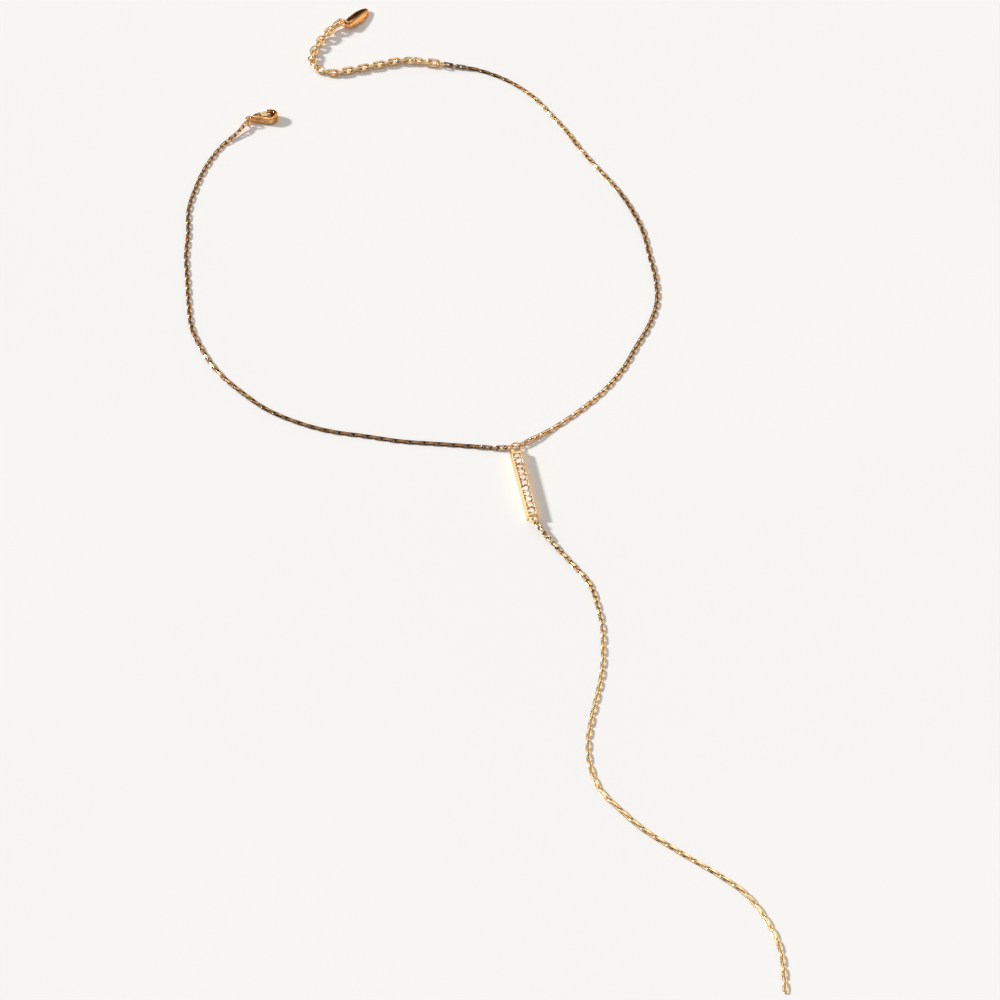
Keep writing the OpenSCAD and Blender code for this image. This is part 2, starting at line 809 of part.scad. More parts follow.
chain_left();
chain_right();
chain_drop();
extender_chain();
bar_setting();
top_ring();
drop_ring();
clasp_ring();
extender_ring();
tag_ring();
tag();
clasp_body();
clasp_pin();
clasp_lever();
for (i = [0:stone_count - 1]) {
    stone(i);
}
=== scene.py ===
"""Looks of the y necklace: its chains, rings, bar, stones, clasp and tag, dressed round
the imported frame. Sizes are millimetres and degrees until a piece is placed in metres."""

import logging
import math
from dataclasses import dataclass
from enum import Enum
from typing import Any, ClassVar

import bmesh
import bpy
import numpy as np
from bpy.types import Material, Mesh, Node, NodeSocket, NodeTree, Object
from mathutils import Matrix, Vector


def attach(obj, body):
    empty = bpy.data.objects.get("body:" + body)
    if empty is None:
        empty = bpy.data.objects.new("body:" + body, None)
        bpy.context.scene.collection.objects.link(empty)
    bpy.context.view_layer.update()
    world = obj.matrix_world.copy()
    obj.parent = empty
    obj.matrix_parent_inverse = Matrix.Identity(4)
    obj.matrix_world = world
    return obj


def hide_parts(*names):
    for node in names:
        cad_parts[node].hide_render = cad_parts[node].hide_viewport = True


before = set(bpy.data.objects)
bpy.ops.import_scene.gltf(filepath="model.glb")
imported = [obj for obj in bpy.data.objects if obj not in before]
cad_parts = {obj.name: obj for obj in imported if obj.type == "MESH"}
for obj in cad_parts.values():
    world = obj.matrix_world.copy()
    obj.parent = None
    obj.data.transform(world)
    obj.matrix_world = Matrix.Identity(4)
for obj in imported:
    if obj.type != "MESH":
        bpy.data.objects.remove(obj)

Point = tuple[float, float, float]
Route = list[Point]
Colour = tuple[float, float, float, float]

LOG = logging.getLogger("y_necklace")
MM = 0.001
UP = Vector((0.0, 0.0, 1.0))
FACING = Vector((0.0, -0.69, 0.72))
FLOOR_GAP = 0.02


class Body(Enum):
    """The moving bodies of the frame."""

    NECKLACE = "necklace"
    LEVER = "lever"


class Slot(Enum):
    """The material slots."""

    FINE_CHAIN = "fine_chain"
    EXTENDER = "extender"
    BAR = "bar"
    RINGS = "rings"
    TAG = "tag"
    CLASP = "clasp"
    LEVER = "lever"
    STONES = "stones"


class Board:
    """Adds nodes to a tree and joins them, in geometry and shader trees alike."""

    def __init__(self, tree: NodeTree) -> None:
        """Takes the tree to draw in."""
        self.tree = tree

    def feed(self, socket: NodeSocket, value: Any) -> None:
        """Joins an output to a socket, or else sets the socket's own value.

        Args:
            socket: The socket.
            value: Another node's output, or a plain value.
        """
        if isinstance(value, NodeSocket):
            self.tree.links.new(value, socket)
        else:
            socket.default_value = value

    def node(self, kind: str, inputs: dict | None = None, **settings: Any) -> Node:
        """Adds one node.

        Args:
            kind: Blender's name for the kind of node.
            inputs: Values or outputs for its sockets, by name or number.
            settings: The node's own choices, such as operation.

        Returns:
            The new node.
        """
        made = self.tree.nodes.new(kind)
        for name, value in settings.items():
            setattr(made, name, value)
        for key, value in (inputs or {}).items():
            self.feed(made.inputs[key], value)
        return made

    def first(self, kind: str, inputs: dict | None = None, **settings: Any) -> NodeSocket:
        """Adds one node and returns its first output."""
        return self.node(kind, inputs, **settings).outputs[0]

    def math(self, operation: str, *values: Any) -> NodeSocket:
        """Works out one number from one to three others."""
        return self.first("ShaderNodeMath", dict(enumerate(values)), operation=operation)

    def vectors(self, operation: str, *values: Any) -> NodeSocket:
        """Works out one vector from others."""
        inputs = dict(enumerate(values))
        made = self.node("ShaderNodeVectorMath", inputs, operation=operation)
        return made.outputs["Value" if operation == "DOT_PRODUCT" else "Vector"]

    def ramp(self, value: Any, low: float, high: float) -> NodeSocket:
        """Maps a number smoothly to 0 at and below low, and to 1 at and above high."""
        inputs = {"Value": value, "From Min": low, "From Max": high}
        return self.first("ShaderNodeMapRange", inputs, interpolation_type="SMOOTHSTEP")

    def typed(self, kind: str, result: str, inputs: dict, **settings: Any) -> NodeSocket:
        """Adds a node whose sockets are told apart by identifier, not by name.

        Args:
            kind: Blender's name for the kind of node.
            result: Identifier of the output.
            inputs: Values or outputs for its sockets, by identifier.
            settings: The node's own choices, such as data_type.

        Returns:
            The node's output.
        """
        made = self.node(kind, **settings)
        sockets = {s.identifier: s for s in made.inputs}
        for key, value in inputs.items():
            self.feed(sockets[key], value)
        return next(s for s in made.outputs if s.identifier == result)

    def mix(self, share: Any, first: Any, second: Any) -> NodeSocket:
        """Mixes two colours by a share."""
        inputs = {"Factor_Float": share, "A_Color": first, "B_Color": second}
        return self.typed("ShaderNodeMix", "Result_Color", inputs, data_type="RGBA")

    def times(self, first: Any, second: Any) -> NodeSocket:
        """Multiplies two numbers."""
        return self.math("MULTIPLY", first, second)

    def part(self, vector: Any, axis: str) -> NodeSocket:
        """Takes one axis of a vector."""
        return self.node("ShaderNodeSeparateXYZ", {0: vector}).outputs[axis]

    def vector(self, **parts: Any) -> NodeSocket:
        """Makes a vector of X, Y and Z, which are 0 where they aren't given."""
        return self.first("ShaderNodeCombineXYZ", parts)

    def attribute(self, name: str) -> NodeSocket:
        """Reads a number that the mesh carries into a shader."""
        return self.node("ShaderNodeAttribute", attribute_name=name).outputs["Fac"]

    def group(self, tree: NodeTree, **values: Any) -> Any:
        """Sets in a group with its own values, _ for a space, and returns its outputs."""
        inputs = {name.replace("_", " "): value for name, value in values.items()}
        return self.node("ShaderNodeGroup", inputs, node_tree=tree).outputs

    def place(self) -> NodeSocket:
        """Reads the shaded point's place on its object."""
        return self.node("ShaderNodeTexCoord").outputs["Object"]

    def noise(self, place: Any, scale: Any, detail: float, rough: float = 0.5) -> NodeSocket:
        """Reads a cloudy noise at a place."""
        inputs = {"Vector": place, "Scale": scale, "Detail": detail, "Roughness": rough}
        return self.first("ShaderNodeTexNoise", inputs)


def rgba(red: float, green: float, blue: float) -> Colour:
    """Returns an opaque colour with four channels."""
    return (red, green, blue, 1.0)


class Effects:
    """Shader groups that several finishes share. Each is built once."""

    CLOUD = (0.35, 0.68)
    JOINT_SHADE = (0.36, 0.62)
    SCRATCH_TURNS = (24, -61)
    SCRATCH = (0.58, 0.72)
    SCRATCH_DEPTH = -0.5
    PEEL_SCALE = 2600.0
    FLAT = 0.5
    EDGE_AND_HOLLOW_RAMP = (0.15, 1.0)

    def __init__(self) -> None:
        """Builds the groups."""
        self.plating = self._plating()
        self.scratches = self._scratches()
        self.wear_and_shade = self._wear_and_shade()

    @staticmethod
    def _group(name: str, inputs: dict[str, Any], *outputs: str) -> tuple:
        """Makes an empty group with its sockets.

        Args:
            name: Name of the group.
            inputs: A number or a colour to start with for each input.
            outputs: The outputs, of which only Color is a colour.

        Returns:
            The group, its board, its inputs and its outputs.
        """
        tree = bpy.data.node_groups.new(name, "ShaderNodeTree")
        for label, value in inputs.items():
            kind = "NodeSocketColor" if isinstance(value, tuple) else "NodeSocketFloat"
            socket = tree.interface.new_socket(label, in_out="INPUT", socket_type=kind)
            socket.default_value = value
        for label in outputs:
            kind = "NodeSocketColor" if label == "Color" else "NodeSocketFloat"
            tree.interface.new_socket(label, in_out="OUTPUT", socket_type=kind)
        board = Board(tree)
        given = board.node("NodeGroupInput").outputs
        return tree, board, given, board.node("NodeGroupOutput").inputs

    def _plating(self) -> NodeTree:
        """Cloudy change of tone in a plated metal, with a tone of its own for each link, and
        painted shade: dark spots at the joints and darker links along parts of a strand.

        Returns:
            The group.
        """
        tree, board, given, result = self._group(
            "plating tone",
            {
                "Pale": rgba(1.0, 0.8, 0.5), "Deep": rgba(0.9, 0.6, 0.3), "Cloud size": 900.0,
                "Link tone": 0.0, "Painted shade colour": rgba(0.085, 0.018, 0.002),
            },
            "Color", "Cloud",
        )
        noise = board.noise(board.place(), given["Cloud size"], 3.0, 0.6)
        cloud = board.ramp(noise, *self.CLOUD)
        share = board.math("MULTIPLY_ADD", board.attribute("tone"), given["Link tone"], cloud)
        clear = board.math("MINIMUM", share, 1.0)
        plated = board.mix(clear, given["Pale"], given["Deep"])
        # Painted shade: dark spots where the links cross at their joints, and whole links darkened
        # where a strand's share of painted shade is over a half.
        joint_shade_ramp = board.ramp(board.attribute("joint"), *self.JOINT_SHADE)
        twice = board.times(board.attribute("toning"), 2.0)
        joint_shade = board.times(board.math("MINIMUM", twice, 1.0), joint_shade_ramp)
        painted_shade_share = board.math("MAXIMUM", joint_shade, board.math("SUBTRACT", twice, 1.0))
        board.feed(result["Color"], board.mix(painted_shade_share, plated, given["Painted shade colour"]))
        board.feed(result["Cloud"], cloud)
        return tree

    def _scratches(self) -> NodeTree:
        """Hair-fine polishing scratches in two directions, over a faint orange peel.

        Returns:
            The group.
        """
        tree, board, given, result = self._group(
            "polishing scratches", {"Fineness": 5000.0, "Stretch": 12.0}, "Height", "Mask"
        )
        place = board.place()
        long_way = board.vector(X=1.0, Y=given["Stretch"], Z=1.0)
        lines = []
        for turn in self.SCRATCH_TURNS:
            inputs = {"Vector": place, "Angle": math.radians(turn)}
            turned = board.first("ShaderNodeVectorRotate", inputs, rotation_type="Z_AXIS")
            stretched = board.vectors("MULTIPLY", turned, long_way)
            noise = board.noise(stretched, given["Fineness"], 2.0)
            lines.append(board.ramp(noise, *self.SCRATCH))
        mask = board.math("MAXIMUM", *lines)
        peel = board.noise(place, self.PEEL_SCALE, 1.0)
        board.feed(result["Mask"], mask)
        board.feed(result["Height"], board.math("MULTIPLY_ADD", mask, self.SCRATCH_DEPTH, peel))
        return tree

    def _wear_and_shade(self) -> NodeTree:
        """Masks of the edges that rub bright and of the hollows, which are tarnished and get
        painted shade.

        Returns:
            The group.
        """
        tree, board, given, result = self._group(
            "edges and hollows", {"Reach": 0.05}, "Edges", "Hollows"
        )
        point = board.node("ShaderNodeNewGeometry").outputs["Pointiness"]
        over = board.math("SUBTRACT", point, self.FLAT)
        edges = board.math("DIVIDE", over, given["Reach"])
        hollows = board.times(edges, -1.0)
        board.feed(result["Edges"], board.ramp(edges, *self.EDGE_AND_HOLLOW_RAMP))
        board.feed(result["Hollows"], board.ramp(hollows, *self.EDGE_AND_HOLLOW_RAMP))
        return tree


def new_material(name: str) -> tuple[Material, Board, Node]:
    """Makes a material and returns it with its board and its shader node."""
    made = bpy.data.materials.new(name)
    made.use_nodes = True
    return made, Board(made.node_tree), made.node_tree.nodes["Principled BSDF"]


@dataclass(frozen=True)
class Coat:
    """What all finishes share: two tones in clouds, scratches and an uneven sheen."""

    name: str
    pale: Colour
    deep: Colour
    roughness: float = 0.16
    scatter: float = 0.08
    cloud_size: float = 900.0
    link_tone: float = 0.0
    fineness: float = 5000.0
    bump: float = 0.05
    bump_depth: float = 0.02

    def material(self, effects: Effects) -> Material:
        """Builds the finish.

        Args:
            effects: The shared shader groups.

        Returns:
            The new material.
        """
        made, board, shader = new_material(self.name)
        plating = board.group(
            effects.plating, Pale=self.pale, Deep=self.deep, Cloud_size=self.cloud_size,
            Link_tone=self.link_tone,
        )
        scratches = board.group(effects.scratches, Fineness=self.fineness)
        colour, rough, fixed = self._own(effects, board, plating)
        for name, value in fixed.items():
            shader.inputs[name].default_value = value
        board.feed(shader.inputs["Base Color"], colour)
        rough = board.math("MULTIPLY_ADD", scratches["Mask"], self.scatter, rough)
        board.feed(shader.inputs["Roughness"], rough)
        inputs = {
            "Height": scratches["Height"], "Strength": self.bump,
            "Distance": self.bump_depth * MM,
        }
        board.feed(shader.inputs["Normal"], board.first("ShaderNodeBump", inputs))
        return made

    def _own(self, effects: Effects, board: Board, plating: Any) -> tuple:
        """Draws what is this kind of finish's own.

        Args:
            effects: The shared shader groups.
            board: Board of the material.
            plating: Outputs of the plating group.

        Returns:
            The colour, the roughness without scratches, and the shader's fixed inputs.
        """
        raise NotImplementedError


@dataclass(frozen=True)
class GoldFinish(Coat):
    """A finish of gold plating, bright on worn edges, tarnished and with painted shade in its
    hollows.
    """

    rim: Colour = rgba(1.0, 0.66, 0.36)
    tarnish_and_shade: Colour = rgba(0.36, 0.17, 0.06)
    edge_share: float = 0.1
    hollow_share: float = 0.5

    def _own(self, effects: Effects, board: Board, plating: Any) -> tuple:
        """Draws the worn edges, and the tarnished hollows with their painted shade, over the
        plating.
        """
        wear_and_shade = board.group(effects.wear_and_shade)
        # Tarnish and painted shade in the hollows.
        hollow = board.times(wear_and_shade["Hollows"], self.hollow_share)
        edges = board.times(wear_and_shade["Edges"], self.edge_share)
        colour = board.mix(hollow, board.mix(edges, plating["Color"], self.pale), self.tarnish_and_shade)
        rough = board.math("MULTIPLY_ADD", plating["Cloud"], self.scatter, self.roughness)
        return colour, rough, {"Metallic": 1.0, "Specular Tint": self.rim}


@dataclass(frozen=True)
class CrystalFinish(Coat):
    """The finish of a cut stone with a faint pink cast, with painted shade on some of its facets.
    """

    name: str = "pink_white_crystal"
    pale: Colour = rgba(1.0, 0.88, 0.78)
    deep: Colour = rgba(0.95, 0.68, 0.54)
    roughness: float = 0.03
    scatter: float = 0.05
    cloud_size: float = 700.0
    fineness: float = 2500.0
    bump: float = 0.02
    bump_depth: float = 0.01
    # Colour of the painted shade on some facets.
    dark: Colour = rgba(0.24, 0.11, 0.06)
    painted_shade_from: float = 0.6
    painted_shade_full: float = 0.72
    refraction: float = 1.9
    see_through: float = 0.1

    def _own(self, effects: Effects, board: Board, plating: Any) -> tuple:
        """Draws the darker facets."""
        # Painted shade: the facets whose random number is high are darkened.
        shade = board.ramp(board.attribute("facet"), self.painted_shade_from, self.painted_shade_full)
        colour = board.mix(shade, plating["Color"], self.dark)
        fixed = {"IOR": self.refraction, "Transmission Weight": self.see_through}
        return colour, self.roughness, fixed


class Finish(Enum):
    """The finishes of this necklace."""

    FINE_CHAIN = GoldFinish(
        "fine_chain_gold", rgba(1.0, 0.77, 0.46), rgba(0.9, 0.54, 0.24), link_tone=0.4,
        roughness=0.2, rim=rgba(0.6, 0.28, 0.11),
    )
    # Painted light: the drop's gold is a paler copy of the fine chain's, for its brighter
    # reflections.
    DROP_CHAIN_PAINTED_LIGHT = GoldFinish(
        "drop_chain_gold_painted_light", rgba(1.0, 0.84, 0.54), rgba(0.97, 0.66, 0.32), link_tone=0.3,
        roughness=0.22, rim=rgba(0.95, 0.6, 0.3),
    )
    EXTENDER = GoldFinish(
        "extender_gold", rgba(1.0, 0.84, 0.56), rgba(0.96, 0.64, 0.33), link_tone=0.3,
        roughness=0.3, rim=rgba(1.0, 0.6, 0.34),
    )
    RINGS = GoldFinish("ring_gold", rgba(1.0, 0.78, 0.46), rgba(0.88, 0.53, 0.22))
    BAR = GoldFinish(
        "bar_gold", rgba(1.0, 0.84, 0.56), rgba(0.95, 0.62, 0.3), roughness=0.24,
        cloud_size=400.0, edge_share=0.6, hollow_share=0.8, rim=rgba(1.0, 0.86, 0.62),
    )
    # Painted shade: a darker copy of the gold, with a near-black deep tone in its random clouds.
    CLASP = GoldFinish(
        "clasp_gold_painted_shade", rgba(0.82, 0.47, 0.19), rgba(0.24, 0.09, 0.03), roughness=0.12,
        cloud_size=300.0, edge_share=0.6,
    )
    LEVER = GoldFinish(
        "lever_gold", rgba(1.0, 0.86, 0.6), rgba(1.0, 0.76, 0.46), roughness=0.3,
        cloud_size=300.0, edge_share=0.4,
    )
    TAG = GoldFinish(
        "tag_gold", rgba(0.98, 0.54, 0.22), rgba(0.8, 0.34, 0.11), roughness=0.14,
        cloud_size=300.0, edge_share=0.4,
    )
    CRYSTAL = CrystalFinish()


class Wardrobe:
    """Builds each finish's material once and hands it out."""

    def __init__(self) -> None:
        """Builds the shared effects."""
        self.effects = Effects()
        self.made: dict[Finish, Material] = {}

    def __getitem__(self, finish: Finish) -> Material:
        """Returns the material of a finish."""
        if finish not in self.made:
            self.made[finish] = finish.value.material(self.effects)
        return self.made[finish]


def object_of(name: str, data: Any) -> Object:
    """Makes an object of a mesh, a camera or a light and shows it in the scene."""
    made = bpy.data.objects.new(name, data)
    bpy.context.scene.collection.objects.link(made)
    return made


def mesh_of(name: str, bm: bmesh.types.BMesh) -> Mesh:
    """Turns a bmesh's faces outwards, writes it to a new mesh and frees it.

    Args:
        name: Name of the mesh.
        bm: The bmesh.

    Returns:
        The new mesh.
    """
    bmesh.ops.recalc_face_normals(bm, faces=bm.faces)
    mesh = bpy.data.meshes.new(name)
    bm.to_mesh(mesh)
    bm.free()
    return mesh


def made_plain(source: Object, name: str) -> Object:
    """Turns what an object's modifiers make of it into a plain mesh in metres.

    Args:
        source: The object in millimetres, which is removed.
        name: Name of the new piece.

    Returns:
        The new object, at the origin, unturned and unscaled.
    """
    graph = bpy.context.evaluated_depsgraph_get()
    mesh = bpy.data.meshes.new_from_object(source.evaluated_get(graph))
    bpy.data.objects.remove(source)
    mesh.name = name
    mesh.transform(Matrix.Scale(MM, 4))
    return object_of(name, mesh)


def place_piece(piece: Object, body: Body, slot: Slot, *nodes: str) -> None:
    """Makes a finished piece ride with its body and stand for its nodes, which it hides.

    Args:
        piece: The finished piece.
        body: Body that it moves with.
        slot: Material slot; not used.
        nodes: CAD nodes that it replaces.
    """
    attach(piece, body.value)
    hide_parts(*nodes)
    LOG.info("%s: %d faces on %s", piece.name, len(piece.data.polygons), body.value)


def node_points(node: str) -> np.ndarray:
    """Reads the points of a CAD node.

    Args:
        node: Name of the node.

    Returns:
        The points in millimetres, a row each.
    """
    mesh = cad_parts[node].data
    points = np.empty(len(mesh.vertices) * 3)
    mesh.vertices.foreach_get("co", points)
    return points.reshape(-1, 3) / MM


def direction(turn: float) -> Vector:
    """Returns the direction on the table for a turn in degrees."""
    angle = math.radians(turn)
    return Vector((math.cos(angle), math.sin(angle), 0.0))


@dataclass(frozen=True)
class JumpRing:
    """A jump ring as it lies in the frame, in millimetres."""

    node: str
    middle: Vector
    axis: Vector
    radius: float
    wire: float

    SEAM: ClassVar[float] = 0.05
    CHAMFER: ClassVar[float] = 0.86
    STEPS: ClassVar[int] = 64
    SIDES: ClassVar[int] = 14

    @classmethod
    def measured(cls, node: str) -> "JumpRing":
        """Reads a ring's place and sizes from its CAD node.

        Args:
            node: Name of the node.

        Returns:
            The ring.
        """
        points = node_points(node)
        middle = (points.min(0) + points.max(0)) / 2
        around = points - middle
        axis = np.linalg.svd(around, full_matrices=False)[2][2]
        along = around @ axis
        wire = along.max() - along.min()
        radius = np.linalg.norm(around, axis=1).max() - wire / 2
        return cls(node, Vector(middle), Vector(axis).normalized(), radius, wire)

    def hook(self, turn: float, gap: float) -> Vector:
        """Finds the joint of a link that hooks into the ring.

        Args:
            turn: Side of the ring, as a direction on the table in degrees.
            gap: Clear gap between the link's wire and the ring's.

        Returns:
            The joint, inside the ring by half its wire and half the gap.
        """
        way = direction(turn)
        flat = (way - self.axis * way.dot(self.axis)).normalized()
        return self.middle + flat * (self.radius - self.wire / 2 - gap / 2)

    def build(self, seam_turn: float, wardrobe: Wardrobe) -> None:
        """Bends the ring's wire, with its butt seam on one side.

        Args:
            seam_turn: Side of the seam, as a direction on the table in degrees.
            wardrobe: Hands out the finish.
        """
        first = (self.hook(seam_turn, 0.0) - self.middle).normalized()
        second = self.axis.cross(first)
        open_angle = self.SEAM / self.radius
        bm = bmesh.new()
        rows = []
        for k in range(self.STEPS + 1):
            angle = open_angle / 2 + (math.tau - open_angle) * k / self.STEPS
            out = first * math.cos(angle) + second * math.sin(angle)
            rows.append(self._round(bm, self.middle + out * self.radius, out, 1.0))
        start, end = self._chamfer(bm, rows[0], 1), self._chamfer(bm, rows[-1], -1)
        rows = [start, *rows, end]
        for low, high in zip(rows, rows[1:]):
            for j in range(self.SIDES):
                beside = (j + 1) % self.SIDES
                bm.faces.new((low[j], low[beside], high[beside], high[j]))
        bm.faces.new(start[::-1])
        bm.faces.new(end)
        for face in bm.faces:
            face.smooth = len(face.verts) == 4
        mesh = mesh_of(self.node, bm)
        mesh.materials.append(wardrobe[Finish.RINGS])
        piece = made_plain(object_of("wire", mesh), self.node + "_wire")
        place_piece(piece, Body.NECKLACE, Slot.RINGS, self.node)

    def _round(self, bm: bmesh.types.BMesh, middle: Vector, out: Vector, share: float) -> list:
        """Draws one round of the wire about a point of its middle line.

        Args:
            bm: The mesh to draw in.
            middle: The point.
            out: Direction away from the ring's middle.
            share: The round's size as a share of the wire's.

        Returns:
            The round's corners.
        """
        turns = [math.tau * j / self.SIDES for j in range(self.SIDES)]
        asides = [out * math.cos(turn) + self.axis * math.sin(turn) for turn in turns]
        return [bm.verts.new(middle + aside * self.wire / 2 * share) for aside in asides]

    def _chamfer(self, bm: bmesh.types.BMesh, row: list, side: int) -> list:
        """Adds the smaller end face of the cut wire beyond its first or last round.

        Args:
            bm: The mesh to draw in.
            row: The first or the last round.
            side: 1 for the first round and -1 for the last.

        Returns:
            The end face's corners.
        """
        middle = sum((v.co for v in row), Vector()) / len(row)
        out = (middle - self.middle).normalized()
        ahead = self.axis.cross(out) * -side * self.SEAM / 4
        return self._round(bm, middle + ahead, out, self.CHAMFER)


def curve_point(route: Route, i: int, t: float) -> np.ndarray:
    """Finds a point of the smooth curve through a route.

    Args:
        route: Points as x, y and lift.
        i: Number of the point before it.
        t: Share of the way to the next point.

    Returns:
        The point as x, y and lift.
    """
    last = len(route) - 1
    a, b, c, d = (np.array(route[min(max(i + k, 0), last)]) for k in (-1, 0, 1, 2))
    return b + t / 2 * ((c - a) + t * ((2 * a - 5 * b + 4 * c - d) + t * (3 * (b - c) + d - a)))


class Road:
    """A strand's smooth way over the table, by the distance along it."""

    STEPS = 8

    def __init__(self, route: Route) -> None:
        """Draws the curve through points of x, y and lift above the lying height.

        Args:
            route: The points.
        """
        spans = range(len(route) - 1)
        points = [curve_point(route, i, k / self.STEPS) for i in spans for k in range(self.STEPS)]
        self.points = np.array(points + [np.array(route[-1])])
        steps = np.linalg.norm(np.diff(self.points[:, :2], axis=0), axis=1)
        self.distance = np.concatenate([[0.0], np.cumsum(steps)])

    @property
    def length(self) -> float:
        """The distance from end to end over the table."""
        return float(self.distance[-1])

    def place(self, s: float) -> Point:
        """Returns the point at a distance along the road."""
        x, y, lift = (float(np.interp(s, self.distance, self.points[:, k])) for k in range(3))
        return x, y, lift


class GeometryTree:
    """A node tree with named inputs that makes a piece of a plain source."""

    NAME: ClassVar[str]
    SIZES: ClassVar[dict[str, str]]

    def __init__(self) -> None:
        """Makes the tree with its sockets and draws it."""
        self.tree = bpy.data.node_groups.new(self.NAME, "GeometryNodeTree")
        self.tree.is_modifier = True
        sockets = self.tree.interface
        sockets.new_socket("Source", in_out="INPUT", socket_type="NodeSocketGeometry")
        self.keys = {
            name: sockets.new_socket(
                name, in_out="INPUT", socket_type="NodeSocket" + kind
            ).identifier
            for name, kind in self.SIZES.items()
        }
        sockets.new_socket("Piece", in_out="OUTPUT", socket_type="NodeSocketGeometry")
        self.board = Board(self.tree)
        self.given = self.board.node("NodeGroupInput").outputs
        inputs = {"Geometry": self.drawn(), "Material": self.given["Finish"]}
        dressed = self.board.first("GeometryNodeSetMaterial", inputs)
        self.board.node("NodeGroupOutput", {"Piece": dressed})

    def drawn(self) -> NodeSocket:
        """Draws the tree's own nodes, up to the realized instances."""
        raise NotImplementedError

    def placed(self, points: Any, instance: Any, rotation: Any) -> NodeSocket:
        """Sets an instance on each point."""
        inputs = {"Points": points, "Instance": instance, "Rotation": rotation}
        return self.board.first("GeometryNodeInstanceOnPoints", inputs)

    def real(self, instances: Any) -> NodeSocket:
        """Makes the instances real."""
        return self.board.first("GeometryNodeRealizeInstances", {"Geometry": instances})

    def grow(self, source: Object, name: str, values: dict[str, Any]) -> Object:
        """Runs the tree on a source.

        Args:
            source: The object in millimetres that the tree starts from.
            name: Name of the piece.
            values: Value for each of the tree's inputs.

        Returns:
            The piece, as a plain mesh in metres.
        """
        modifier = source.modifiers.new(name, "NODES")
        modifier.node_group = self.tree
        for label, value in values.items():
            modifier[self.keys[label]] = value
        return made_plain(source, name)


